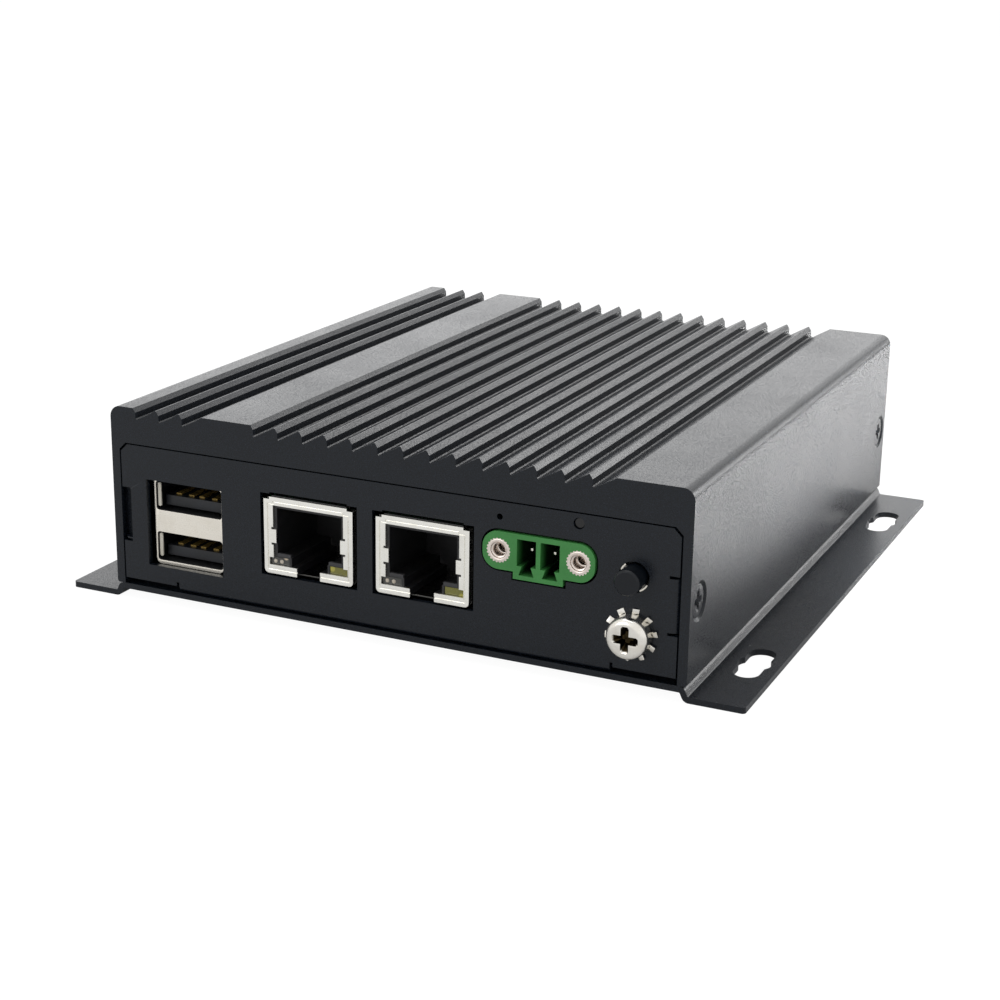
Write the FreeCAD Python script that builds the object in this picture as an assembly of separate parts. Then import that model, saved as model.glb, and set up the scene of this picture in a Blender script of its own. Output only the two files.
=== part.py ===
"""Fanless industrial computer: finned extruded housing, folded chassis and slotted mounting plate.

Millimetres, +Z up, +X to the right, the connector panel faces -Y. The origin is the centre of the
four mounting slots, on the plane that the two feet stand on.
"""
import FreeCAD, Part
import math
import os

V = FreeCAD.Vector

# ---------------------------------------------------------------- driving dimensions

# Housing: an inverted channel, extruded along Y
housing_width = 102.0
housing_length = 115.0
housing_height = 30.9            # from its lower edges to the tips of the fins
wall = 1.65
roof = 6.25                      # from the ceiling to the tips of the fins
top_corner_radius = 1.5
lower_edge_radius = 0.4
ceiling_chamfer = 1.2            # where the walls meet the ceiling

# Fins: saw teeth on one pitch, with two plain bands
fin_pitch = 4.5
fin_depth = 1.95
left_rail = 4.5                  # plain rail at the left edge
left_grooves = 3
band_pitches = 2                 # plain band between the two groups of grooves
right_grooves = 14
tooth_chamfer_width = 0.45       # bevel on the steep side of each tooth
tooth_chamfer_height = 0.9
groove_lean = 0.15               # how far the steep side leans
groove_floor = 0.15
tooth_land = 0.2                 # flat tip of a tooth

# Mounting plate: one sheet, joggled down to a foot along each side
plate_thickness = 1.0
foot_drop = 1.5                  # from the web's underside down to the feet's underside
joggle_inset = 1.1               # the web's underside ends this far inside the housing's sides
joggle_run = 0.7                 # sideways distance that the joggle takes
joggle_radius = 0.2              # inner radius of both bends
foot_width = 9.2                 # from the housing's side to the foot's outer edge
foot_corner_radius = 0.6
slot_spacing_x = 112.2
slot_spacing_y = 80.0
slot_width = 4.2
slot_length = 12.6
slot_eye = 5.4                   # round widening at the middle of each slot

# Chassis: one folded sheet
sheet = 1.0
bend_radius = 0.3                # inner radius of the folds
panel_side_gap = 0.15            # panel edge to housing wall; the ears lie on the wall
panel_top_gap = 0.1
panel_chamfer = 1.25
fold_width = 77.2                # stretch over which the panels are joined to the floor
corner_slot = 1.1                # clear height under the panel's lower corners
notch_width = 0.5
notch_rise = 0.7                 # how far the fold notches cut into the panel
floor_setback = 2.0              # floor's side areas, back from the panels
ear_height = 8.5
ear_length = 8.0
ear_centre_z = 14.9
ear_notch_depth = 1.6
ear_notch_width = 0.45

# Screws
thread_gap = 0.03
seat_gap = 0.02
side_screw_radius = 1.5          # M3, through the housing's walls into the ears
side_head_radius = 2.8
side_sink_radius = 3.2
side_hole_radius = 1.55
side_screw_length = 4.2
side_screw_inset = 4.1           # from the housing's ends
base_screw_radius = 1.25         # M2.5, through the mounting plate into the floor
base_head_radius = 2.05
base_sink_radius = 2.3
base_hole_radius = 1.3
base_screw_length = 3.4
base_screw_x = 30.0
base_screw_y = 36.0
cross_share = 0.52               # length of the cross recess over the head's diameter
cross_width = 0.62
cross_depth = 0.8

# Main board, hung so that its connectors are below it and the processor above it
board_width = 95.0
board_rear_gap = 6.2             # board's edge to the rear panel's inner face
board_thickness = 1.6
board_front_gap = 0.8            # panel's inner face to the board's edge
board_underside = 22.4           # height above the feet's plane
holder_grip = 2.8                # how far a holder's slot takes in the board's edge
holder_back = 1.2                # holder's thickness behind the slot
holder_length = 6.0
holder_lip = 1.2                 # holder's height above the board
holder_front_inset = 22.7        # from the board's front edge to a holder's middle
holder_rear_inset = 5.3          # from the board's rear edge

# Processor and its pad
processor_x = -6.0
processor_y = 2.0
processor_side = 25.0
processor_base_height = 1.15
die_length = 13.0
die_width = 9.5
pad_side = 30.0
pad_thickness = 1.0

# Double-deck USB receptacle
usb_x = -37.15
usb_width = 13.2
usb_height = 15.8
usb_depth = 16.5
usb_recess = 1.2                 # behind the panel's outer face
usb_metal = 0.35
usb_port_width = 12.5
usb_port_height = 5.0
usb_port_depth = 11.5
usb_lower_port_rise = 0.7        # lower port above the receptacle's underside
usb_port_pitch = 8.8
usb_tongue_width = 11.1
usb_tongue_height = 1.75
usb_tongue_rise = 0.5            # tongue above the port's floor
usb_tongue_setback = 1.8
usb_contact_width = 1.0
usb_contact_height = 0.25
usb_contact_length = 7.0
usb_contact_inset = 0.9
usb_contact_offsets = (-3.5, -1.0, 1.0, 3.5)
usb_cutout_margin = 0.7
usb_cutout_height = 14.9

# Network jacks
jack_x = (-13.6, 6.85)
jack_width = 16.3
jack_depth = 21.3
jack_bottom = 9.0                # height above the feet's plane
jack_shoulder = 0.8              # height of the step beside the raised top
jack_top_width = 14.2
jack_metal = 0.25
jack_window_width = 12.85
jack_window_height = 9.75
jack_window_rise = 1.5           # window above the shield's underside
jack_tab_width = 0.7             # sprung tabs at the window's sides
jack_tab_height = 2.3
jack_tab_rise = 3.75
jack_light_width = 3.4
jack_light_height = 1.2
jack_light_depth = 3.0
jack_light_recess = 0.35
jack_cavity_width = 11.8
jack_cavity_floor = 2.9          # above the shield's underside
jack_cavity_top = 11.1
jack_cavity_depth = 13.0
jack_key_width = 6.6
jack_latch_width = 4.25
jack_contact_pitch = 1.02
jack_contact_width = 0.45
jack_contact_count = 8
jack_contact_drop = 3.4
jack_contact_run = 7.5
jack_contact_start = 3.4
jack_cutout_margin = 0.7
jack_cutout_drop = 0.45
jack_cutout_top_gap = 0.05
jack_cutout_notch = 0.3          # raised middle of the cutout, above the jack
jack_light_fit = 0.05            # light in its bay

# Two-way power header with screw flanges
header_x = 26.6
header_width = 18.6
header_height = 6.1
header_end_radius = 2.6
header_depth = 9.2
header_proud = 0.3
header_skirt_width = 8.3
header_skirt_height = 1.15
header_cavity_pitch = 3.9
header_cavity_width = 3.15
header_cavity_height = 4.3
header_cavity_rise = 1.0
header_cavity_depth = 8.0
header_key_neck = 1.5
header_key_width = 2.5
header_key_rim = 0.7             # skirt wall under the key
header_gap = 0.35
pin_pitch = 3.81
pin_side = 1.0
pin_height = 0.2                 # pin's axis above the middle of the header
pin_setback = 2.0
pin_tail = 1.0                   # header's back to the pin's upright tail
insert_spacing = 13.2
insert_radius = 1.8
insert_length = 6.0
insert_bore_radius = 1.05
insert_fit = 0.02

# Push button and its switch
button_x = 42.0
button_z = 18.5
button_hole_radius = 2.45
button_radius = 2.05
button_proud = 3.3
button_edge = 0.3                # bevel round its face
button_travel = 0.5
button_stop_gap = 0.2            # left between flange and switch at full travel
button_flange_radius = 2.8       # keeps the button behind the panel
button_flange_thickness = 0.5
button_flange_gap = 0.05         # panel to flange at rest
button_stem_radius = 1.5
button_stem_length = 2.4
button_fit = 0.1
switch_width = 6.0
switch_depth = 5.6
switch_below_button = 2.6

# Status lights above the header
small_light_x = 20.0
small_light_hole_radius = 0.5
small_light_width = 1.6
small_light_height = 1.3
small_light_depth = 1.0
guide_light_x = 33.0
guide_light_hole_radius = 0.9
guide_light_nose_radius = 0.75
guide_light_width = 2.4
guide_light_height = 2.7
guide_light_centre = 1.5         # nose above the board
guide_light_depth = 3.0
guide_light_recess = 0.35

# Ground screw
ground_x = 42.0
ground_z = 9.5
ground_screw_radius = 2.0        # M4
ground_hole_radius = 2.2
ground_head_radius = 3.5
ground_head_height = 2.6
ground_head_bevel = 0.9
ground_cross_length = 4.2
ground_cross_depth = 1.4
ground_screw_length = 8.0
washer_thickness = 0.5
washer_ring_radius = 3.2
washer_tooth_radius = 4.25
washer_teeth = 10
washer_tooth_width = 1.25
ground_nut_across_flats = 7.0
ground_nut_height = 2.2

# Memory, storage, coin cell and power parts under the board
memory_length = 67.6
memory_width = 30.0
memory_thickness = 1.0
memory_gap = 2.65                # cell holder to the module
memory_drop = 3.4                # board to the module's upper face
memory_socket_length = 70.0
memory_socket_width = 6.5
memory_socket_height = 5.2
memory_engagement = 3.0
memory_latch_width = 2.2
memory_chip = (9.0, 11.0, 1.0)
memory_chip_count = 4
memory_chip_pitch = 14.5
storage_x = -20.0
storage_rear_inset = 12.5        # from the board's rear edge to the card's middle
storage_length = 42.0
storage_width = 22.0
storage_thickness = 0.8
storage_drop = 2.2
storage_socket_depth = 5.0
storage_socket_height = 4.2
storage_engagement = 2.0
storage_chip = (12.0, 14.0, 1.2)
storage_clip_length = 3.0
storage_clip_width = 6.0
storage_clip_lip = 1.0           # how far the clip reaches over the card's end
storage_clip_base = 0.8          # clip below the card
cell_x = 28.0
cell_inset = 25.5                # from the board's front edge to the cell's middle
cell_radius = 6.25
cell_height = 2.0
cell_fit = 0.1
cell_holder_wall = 1.0
cell_holder_base = 1.4
cell_holder_depth = 1.5          # how deep the cell sits in it
inductor_side = 6.8
inductor_height = 3.8
inductor_bevel = 0.8
inductor_places = ((20.5, 13.7), (29.0, 13.7))     # x, and inset from the board's front edge
capacitor_length = 7.3
capacitor_width = 4.3
capacitor_height = 2.8
capacitor_places = ((37.0, 11.7), (40.5, 40.2), (-42.0, 35.7))

# ---------------------------------------------------------------- levels and faces

half_width = housing_width / 2
front = -housing_length / 2
rear = housing_length / 2
web_under = foot_drop
web_top = web_under + plate_thickness
housing_top = web_top + housing_height
ceiling = housing_top - roof
inner_half = half_width - wall
floor_top = web_top + sheet
panel_half = inner_half - panel_side_gap
panel_top = ceiling - panel_top_gap
panel_back = front + sheet
board_top = board_underside + board_thickness
board_front = panel_back + board_front_gap
board_rear = rear - sheet - board_rear_gap
cell_y = board_front + cell_inset
memory_front_y = cell_y + cell_radius + cell_fit + cell_holder_wall + memory_gap
storage_y = board_rear - storage_rear_inset
usb_bottom = board_underside - usb_height
usb_front = front + usb_recess
jack_top = board_underside
jack_front = front
header_centre_z = board_underside - header_height / 2
header_front = front - header_proud
header_bottom = board_underside - header_height - header_skirt_height
button_flange_front = panel_back + button_flange_gap
button_flange_back = button_flange_front + button_flange_thickness
switch_front = button_flange_back + button_travel + button_stop_gap


# ---------------------------------------------------------------- helpers

def box(x0, x1, y0, y1, z0, z1):
    """Block between two corners."""
    return Part.makeBox(x1 - x0, y1 - y0, z1 - z0, V(x0, y0, z0))


def block(x, width, y0, y1, z0, z1):
    """Block centred on x."""
    return box(x - width / 2, x + width / 2, y0, y1, z0, z1)


def cylinder_y(radius, x, z, y0, y1):
    """Cylinder along Y."""
    return Part.makeCylinder(radius, y1 - y0, V(x, y0, z), V(0, 1, 0))


def cylinder_z(radius, x, y, z0, z1):
    """Cylinder along Z."""
    return Part.makeCylinder(radius, z1 - z0, V(x, y, z0))


def prism_y(points, y0, y1):
    """Solid with an outline of (x, z) points, from y0 to y1."""
    wire = Part.makePolygon([V(x, y0, z) for x, z in points] + [V(points[0][0], y0, points[0][1])])
    return Part.Face(wire).extrude(V(0, y1 - y0, 0))


def prism_x(points, x0, x1):
    """Solid with an outline of (y, z) points, from x0 to x1."""
    wire = Part.makePolygon([V(x0, y, z) for y, z in points] + [V(x0, points[0][0], points[0][1])])
    return Part.Face(wire).extrude(V(x1 - x0, 0, 0))


def fused(first, *others):
    """One solid from touching pieces, with shared faces merged."""
    return first.fuse(list(others)).removeSplitter()


def mirrored_x(shape):
    return shape.mirror(V(0, 0, 0), V(1, 0, 0))


def mirrored_y(shape):
    return shape.mirror(V(0, 0, 0), V(0, 1, 0))


def rounded_path(points, radii):
    """Open wire through the points, with an arc of the given radius at each inner corner."""
    edges = []
    start = points[0]
    for before, corner, after, radius in zip(points, points[1:], points[2:], radii):
        arriving = (corner - before).normalize()
        leaving = (after - corner).normalize()
        half_turn = arriving.getAngle(leaving) / 2
        inward = (leaving - arriving).normalize()
        first = corner - arriving * (radius * math.tan(half_turn))
        last = corner + leaving * (radius * math.tan(half_turn))
        middle = corner + inward * (radius / math.cos(half_turn) - radius)
        edges.append(Part.makeLine(start, first))
        edges.append(Part.Arc(first, middle, last).toShape())
        start = last
    edges.append(Part.makeLine(start, points[-1]))
    return Part.Wire(edges)


def folded_sheet(points, radii, thickness, run):
    """Solid sheet that lies on one side of a rounded path, swept straight along run."""
    return rounded_path(points, radii).makeOffset2D(thickness, 0, True, True).extrude(run)


def cross_recess(head_centre, axis, depth, length):
    """Cross-shaped pocket to cut from a screw head, sunk from its outer face along -axis."""
    pocket = Part.makeBox(length, cross_width, depth, V(-length / 2, -cross_width / 2, -depth))
    other = Part.makeBox(cross_width, length, depth, V(-cross_width / 2, -length / 2, -depth))
    cross = pocket.fuse(other)
    turn = FreeCAD.Rotation(V(0, 0, 1), axis)
    cross.Placement = FreeCAD.Placement(head_centre, turn)
    return cross


def flat_head_screw(face_point, axis, shank_radius, head_radius, sink_radius, length):
    """Countersunk screw whose head seats in a 90 degree sink; axis points out of the head."""
    sunk = sink_radius - head_radius - seat_gap
    head_point = face_point - axis * sunk
    cone = head_radius - shank_radius
    head = Part.makeCone(head_radius, shank_radius, cone, head_point, axis * -1)
    shank = Part.makeCylinder(shank_radius, length - cone, head_point - axis * cone, axis * -1)
    cross = cross_recess(head_point, axis, cross_depth, 2 * head_radius * cross_share)
    return fused(head, shank).cut(cross)


def countersunk_hole(face_point, axis, sink_radius, hole_radius, depth):
    """Cutter for a flat head screw, from the outer face inward."""
    sink = Part.makeCone(sink_radius, hole_radius, sink_radius - hole_radius, face_point, axis * -1)
    return sink.fuse(Part.makeCylinder(hole_radius, depth, face_point, axis * -1))


def hexagon(base, axis, across_flats, height):
    """Hexagonal bar: base is the middle of its first face, and axis the way it goes."""
    corner_radius = across_flats / math.sqrt(3)
    turns = [math.radians(60 * k) for k in range(7)]
    rim = [V(corner_radius * math.cos(a), corner_radius * math.sin(a), 0) for a in turns]
    bar = Part.Face(Part.makePolygon(rim)).extrude(V(0, 0, height))
    bar.Placement = FreeCAD.Placement(base, FreeCAD.Rotation(V(0, 0, 1), axis))
    return bar


def hex_nut(base, axis, across_flats, height, bore_radius):
    """Nut on a flat face: base is on the face, axis points away from it."""
    return hexagon(base, axis, across_flats, height).cut(
        Part.makeCylinder(bore_radius, height, base, axis))


def side_screw_places():
    """(y, outward sign of x) of the four side screws."""
    inset = housing_length / 2 - side_screw_inset
    return [(y, side) for side in (-1, 1) for y in (-inset, inset)]


def base_screw_places():
    return [(x, y) for x in (-base_screw_x, base_screw_x) for y in (-base_screw_y, base_screw_y)]


# ---------------------------------------------------------------- housing

def fin_groove(corner):
    """Saw-tooth groove: x of its left corner; it falls steeply, then rises to the next tooth."""
    x = corner
    foot = x + tooth_chamfer_width + groove_lean
    return [
        (x, housing_top),
        (x + tooth_chamfer_width, housing_top - tooth_chamfer_height),
        (foot, housing_top - fin_depth),
        (foot + groove_floor, housing_top - fin_depth),
        (x + fin_pitch - tooth_land, housing_top),
    ]


def groove_corners():
    start = -half_width + left_rail
    first_right = left_grooves + band_pitches
    steps = list(range(left_grooves)) + list(range(first_right, first_right + right_grooves))
    return [start + step * fin_pitch for step in steps]


def housing_profile():
    """Outline of the inverted channel with its grooves, as (x, z) points and corner arcs."""
    top = [(-half_width, housing_top)]
    for corner in groove_corners():
        top += fin_groove(corner)
    top.append((half_width, housing_top))
    inside = [
        (half_width, web_top),
        (inner_half, web_top),
        (inner_half, ceiling - ceiling_chamfer),
        (inner_half - ceiling_chamfer, ceiling),
        (-inner_half + ceiling_chamfer, ceiling),
        (-inner_half, ceiling - ceiling_chamfer),
        (-inner_half, web_top),
        (-half_width, web_top),
    ]
    return top + inside


def edges_along_y(shape, x, z):
    """Straight edges that run the length of a shape at one (x, z)."""
    found = []
    for edge in shape.Edges:
        ends = [vertex.Point for vertex in edge.Vertexes]
        if all(abs(p.x - x) < 1e-4 and abs(p.z - z) < 1e-4 for p in ends):
            found.append(edge)
    return found


def make_housing():
    body = prism_y(housing_profile(), front, rear)
    for side in (-half_width, half_width):
        body = body.makeFillet(top_corner_radius, edges_along_y(body, side, housing_top))
        body = body.makeFillet(lower_edge_radius, edges_along_y(body, side, web_top))
    for y, side in side_screw_places():
        point = V(side * half_width, y, ear_centre_z)
        body = body.cut(countersunk_hole(point, V(side, 0, 0), side_sink_radius, side_hole_radius, wall))
    return body


# ---------------------------------------------------------------- mounting plate

def foot_slot(x, y):
    """Cutter: slot along Y with a round widening at its middle."""
    straight = slot_length - slot_width
    slot = block(x, slot_width, y - straight / 2, y + straight / 2, 0, plate_thickness)
    ends = [cylinder_z(slot_width / 2, x, y + s * straight / 2, 0, plate_thickness) for s in (-1, 1)]
    eye = cylinder_z(slot_eye / 2, x, y, 0, plate_thickness)
    return slot.fuse(ends + [eye])


def make_mounting_plate():
    web_end = half_width - joggle_inset
    foot_start = web_end + joggle_run
    foot_end = half_width + foot_width
    outer_radius = joggle_radius + plate_thickness
    under = [
        V(-foot_end, front, 0), V(-foot_start, front, 0), V(-web_end, front, web_under),
        V(web_end, front, web_under), V(foot_start, front, 0), V(foot_end, front, 0),
    ]
    radii = [outer_radius, joggle_radius, joggle_radius, outer_radius]
    plate = folded_sheet(under, radii, plate_thickness, V(0, housing_length, 0))
    corners = [
        edge for edge in plate.Edges
        if all(abs(abs(v.X) - foot_end) < 1e-4 for v in edge.Vertexes)
        and abs(edge.Length - plate_thickness) < 1e-4
        and abs(edge.Vertexes[0].Z - edge.Vertexes[1].Z) > plate_thickness / 2
    ]
    plate = plate.makeFillet(foot_corner_radius, corners)
    for x in (-slot_spacing_x / 2, slot_spacing_x / 2):
        for y in (-slot_spacing_y / 2, slot_spacing_y / 2):
            plate = plate.cut(foot_slot(x, y))
    for x, y in base_screw_places():
        point = V(x, y, web_under)
        sink = countersunk_hole(point, V(0, 0, -1), base_sink_radius, base_hole_radius, plate_thickness)
        plate = plate.cut(sink)
    return plate


# ---------------------------------------------------------------- chassis

def panel_sheet(outer):
    """Full-width end panel above the corner slots; outer is its outer face's y, at the front."""
    foot = web_top + corner_slot
    outline = [
        (-panel_half, foot), (panel_half, foot), (panel_half, panel_top - panel_chamfer),
        (panel_half - panel_chamfer, panel_top), (-panel_half + panel_chamfer, panel_top),
        (-panel_half, panel_top - panel_chamfer),
    ]
    panel = prism_y(outline, outer, outer + sheet)
    low = ear_centre_z - ear_height / 2 - ear_notch_width
    high = ear_centre_z + ear_height / 2 + ear_notch_width
    for side in (-1, 1):
        middle = side * (panel_half - ear_notch_depth / 2)
        panel = panel.cut(block(middle, ear_notch_depth, outer, outer + sheet, low, high))
        middle = side * (fold_width + notch_width) / 2
        panel = panel.cut(block(middle, notch_width, outer, outer + sheet, foot, foot + notch_rise))
    return panel


def side_ear():
    """Right-hand ear of the front panel, bent back along the housing's wall."""
    low = ear_centre_z - ear_height / 2
    path = [
        V(panel_half - 2 * ear_notch_depth, front, low),
        V(inner_half, front, low),
        V(inner_half, front + ear_length, low),
    ]
    ear = folded_sheet(path, [bend_radius + sheet], -sheet, V(0, 0, ear_height))
    y = front + side_screw_inset
    radius = side_screw_radius + thread_gap
    hole = Part.makeCylinder(radius, sheet, V(inner_half - sheet, y, ear_centre_z), V(1, 0, 0))
    return ear.cut(hole)


def panel_openings():
    """Everything that is cut through the front panel."""
    depth = (front, panel_back)
    usb_margin_width = usb_width + 2 * usb_cutout_margin
    cutters = [block(usb_x, usb_margin_width, *depth, usb_bottom, usb_bottom + usb_cutout_height)]
    for x in jack_x:
        width = jack_width + 2 * jack_cutout_margin
        top = jack_top + jack_cutout_top_gap
        cutters.append(block(x, width, *depth, jack_bottom - jack_cutout_drop, top))
        cutters.append(block(x, jack_top_width, *depth, top, jack_top + jack_cutout_notch))
    cutters.append(header_outline(header_gap, *depth))
    cutters.append(cylinder_y(button_hole_radius, button_x, button_z, *depth))
    cutters.append(cylinder_y(ground_hole_radius, ground_x, ground_z, *depth))
    small_light_z = board_top + small_light_height / 2
    cutters.append(cylinder_y(small_light_hole_radius, small_light_x, small_light_z, *depth))
    guide_z = board_top + guide_light_centre
    cutters.append(cylinder_y(guide_light_hole_radius, guide_light_x, guide_z, *depth))
    return cutters


def make_chassis():
    join = web_top + corner_slot + notch_rise
    path = [
        V(-fold_width / 2, front, join), V(-fold_width / 2, front, web_top),
        V(-fold_width / 2, rear, web_top), V(-fold_width / 2, rear, join),
    ]
    outer_radius = bend_radius + sheet
    tray = folded_sheet(path, [outer_radius] * 2, -sheet, V(fold_width, 0, 0))
    setback = sheet + floor_setback
    floor = box(-panel_half, panel_half, front + setback, rear - setback, web_top, floor_top)
    front_panel = panel_sheet(front).cut(panel_openings())
    ears = [side_ear(), mirrored_x(side_ear())]
    rear_end = [mirrored_y(shape) for shape in [panel_sheet(front)] + ears]
    chassis = fused(tray, floor, front_panel, *ears, *rear_end)
    for x, y in base_screw_places():
        chassis = chassis.cut(cylinder_z(base_screw_radius + thread_gap, x, y, web_top, floor_top))
    return chassis


# ---------------------------------------------------------------- screws, nuts and posts

def make_side_screws():
    screws = []
    for y, side in side_screw_places():
        point = V(side * half_width, y, ear_centre_z)
        screws.append(flat_head_screw(point, V(side, 0, 0), side_screw_radius, side_head_radius,
                                      side_sink_radius, side_screw_length))
    return Part.makeCompound(screws)


def make_base_screws():
    screws = []
    for x, y in base_screw_places():
        screws.append(flat_head_screw(V(x, y, web_under), V(0, 0, -1), base_screw_radius,
                                      base_head_radius, base_sink_radius, base_screw_length))
    return Part.makeCompound(screws)


def make_board_holders():
    """Four posts on the chassis floor that hold the board by its side edges, in slots."""
    holders = []
    edge = board_width / 2
    for side in (-1, 1):
        middle = side * (edge + (holder_back - holder_grip) / 2)
        for y in (board_front + holder_front_inset, board_rear - holder_rear_inset):
            y0 = y - holder_length / 2
            y1 = y + holder_length / 2
            post = block(middle, holder_grip + holder_back, y0, y1, floor_top, board_top + holder_lip)
            grip = side * (edge - holder_grip / 2)
            holders.append(post.cut(block(grip, holder_grip, y0, y1, board_underside, board_top)))
    return Part.makeCompound(holders)


def make_ground_screw():
    seat = front - washer_thickness
    head = cylinder_y(ground_head_radius, ground_x, ground_z, seat - ground_head_height, seat)
    outer = [e for e in head.Edges if abs(e.CenterOfMass.y - (seat - ground_head_height)) < 1e-4]
    head = head.makeChamfer(ground_head_bevel, outer)
    shank = cylinder_y(ground_screw_radius, ground_x, ground_z, seat, seat + ground_screw_length)
    outside = V(ground_x, seat - ground_head_height, ground_z)
    cross = cross_recess(outside, V(0, -1, 0), ground_cross_depth, ground_cross_length)
    return fused(head, shank).cut(cross)


def make_ground_washer():
    """Lock washer with outer teeth."""
    y0 = front - washer_thickness
    ring = cylinder_y(washer_ring_radius, ground_x, ground_z, y0, front)
    teeth = []
    for k in range(washer_teeth):
        tooth = box(washer_ring_radius - 0.3, washer_tooth_radius, y0, front,
                    -washer_tooth_width / 2, washer_tooth_width / 2)
        tooth.rotate(V(0, 0, 0), V(0, 1, 0), 360.0 * k / washer_teeth)
        tooth.translate(V(ground_x, 0, ground_z))
        teeth.append(tooth)
    hole = cylinder_y(ground_screw_radius + thread_gap, ground_x, ground_z, y0, front)
    return fused(ring, *teeth).cut(hole)


def make_ground_nut():
    base = V(ground_x, panel_back, ground_z)
    bore = ground_screw_radius + thread_gap
    return hex_nut(base, V(0, 1, 0), ground_nut_across_flats, ground_nut_height, bore)


# ---------------------------------------------------------------- main board and processor

def make_mainboard():
    return block(0, board_width, board_front, board_rear, board_underside, board_top)


def make_processor():
    """Package with its die on top; the die meets the thermal pad."""
    base_top = board_top + processor_base_height
    base = block(processor_x, processor_side, processor_y - processor_side / 2,
                 processor_y + processor_side / 2, board_top, base_top)
    die = block(processor_x, die_length, processor_y - die_width / 2, processor_y + die_width / 2,
                base_top, ceiling - pad_thickness)
    return fused(base, die)


def make_thermal_pad():
    return block(processor_x, pad_side, processor_y - pad_side / 2, processor_y + pad_side / 2,
                 ceiling - pad_thickness, ceiling)


# ---------------------------------------------------------------- USB receptacle

def usb_port_floors():
    low = usb_bottom + usb_lower_port_rise
    return [low, low + usb_port_pitch]


def make_usb_shell():
    """Folded metal shell round two ports, one above the other."""
    back = usb_front + usb_depth
    shell = block(usb_x, usb_width, usb_front, back, usb_bottom, usb_bottom + usb_height)
    floors = usb_port_floors()
    inner_width = usb_width - 2 * usb_metal
    for floor_z in floors:
        port = block(usb_x, usb_port_width, usb_front, usb_front + usb_port_depth,
                     floor_z, floor_z + usb_port_height)
        shell = shell.cut(port)
    chamber = block(usb_x, inner_width, usb_front + usb_port_depth, back - usb_metal,
                    usb_bottom, usb_bottom + usb_height - usb_metal)
    between = block(usb_x, inner_width, usb_front + usb_metal, usb_front + usb_port_depth,
                    floors[0] + usb_port_height + usb_metal, floors[1] - usb_metal)
    return shell.cut(chamber).cut(between)


def usb_tongue_levels():
    return [floor_z + usb_tongue_rise for floor_z in usb_port_floors()]


def make_usb_insulator():
    """Moulded block behind the ports, with a tongue in each port and a filler between them."""
    floors = usb_port_floors()
    inner_width = usb_width - 2 * usb_metal
    start = usb_front + usb_port_depth
    insulator = block(usb_x, inner_width, start, usb_front + usb_depth - usb_metal,
                      usb_bottom, usb_bottom + usb_height - usb_metal)
    pieces = [block(usb_x, inner_width, usb_front + usb_metal, start,
                    floors[0] + usb_port_height + usb_metal, floors[1] - usb_metal)]
    for level in usb_tongue_levels():
        pieces.append(block(usb_x, usb_tongue_width, usb_front + usb_tongue_setback, start,
                            level, level + usb_tongue_height))
    return fused(insulator, *pieces)


def make_usb_contacts():
    """Four flat contacts on the upper face of each tongue."""
    contacts = []
    y0 = usb_front + usb_tongue_setback + usb_contact_inset
    for level in usb_tongue_levels():
        top = level + usb_tongue_height
        for offset in usb_contact_offsets:
            contacts.append(block(usb_x + offset, usb_contact_width, y0, y0 + usb_contact_length,
                                  top, top + usb_contact_height))
    return Part.makeCompound(contacts)


# ---------------------------------------------------------------- network jacks

def jack_outline(x, y0, y1, inset):
    """Outer form of a jack: a block with a step beside its raised top."""
    half = jack_width / 2 - inset
    top_half = jack_top_width / 2 - inset
    shoulder = jack_top - jack_shoulder - inset
    outline = [
        (x - half, jack_bottom + inset), (x + half, jack_bottom + inset), (x + half, shoulder),
        (x + top_half, shoulder), (x + top_half, jack_top - inset), (x - top_half, jack_top - inset),
        (x - top_half, shoulder), (x - half, shoulder),
    ]
    return prism_y(outline, y0, y1)


def jack_window(x):
    """Cutter for the shield's front: the window with its two tabs, light bays and latch gap."""
    y0 = jack_front
    y1 = jack_front + jack_metal
    low = jack_bottom + jack_window_rise
    window = block(x, jack_window_width, y0, y1, low, low + jack_window_height)
    tab_low = low + jack_tab_rise
    for side in (-1, 1):
        middle = x + side * (jack_window_width - jack_tab_width) / 2
        window = window.cut(block(middle, jack_tab_width, y0, y1, tab_low, tab_low + jack_tab_height))
    bays = block(x, jack_lights_span(), y0, y1, low, low + jack_light_height)
    latch = block(x, jack_latch_width, y0, y1, jack_bottom, low)
    return window.fuse([bays, latch])


def jack_lights_span():
    """Outer width over the two light bays."""
    return jack_key_width + 2 * jack_light_width + 4 * jack_metal


def jack_light_box(x, side, grow):
    """A light at a lower corner of the jack; grow makes the bay that holds it."""
    middle = x + side * (jack_lights_span() - jack_light_width) / 2
    low = jack_bottom + jack_window_rise
    y0 = jack_front + (jack_light_recess if grow == 0 else jack_metal)
    y1 = jack_front + jack_light_recess + jack_light_depth
    return block(middle, jack_light_width + 2 * grow, y0, y1, low - grow, low + jack_light_height + grow)


def make_jack_shield(x):
    back = jack_front + jack_depth
    shield = jack_outline(x, jack_front, back, 0)
    hollow = jack_outline(x, jack_front + jack_metal, back - jack_metal, jack_metal)
    return shield.cut(hollow).cut(jack_window(x))


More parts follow.
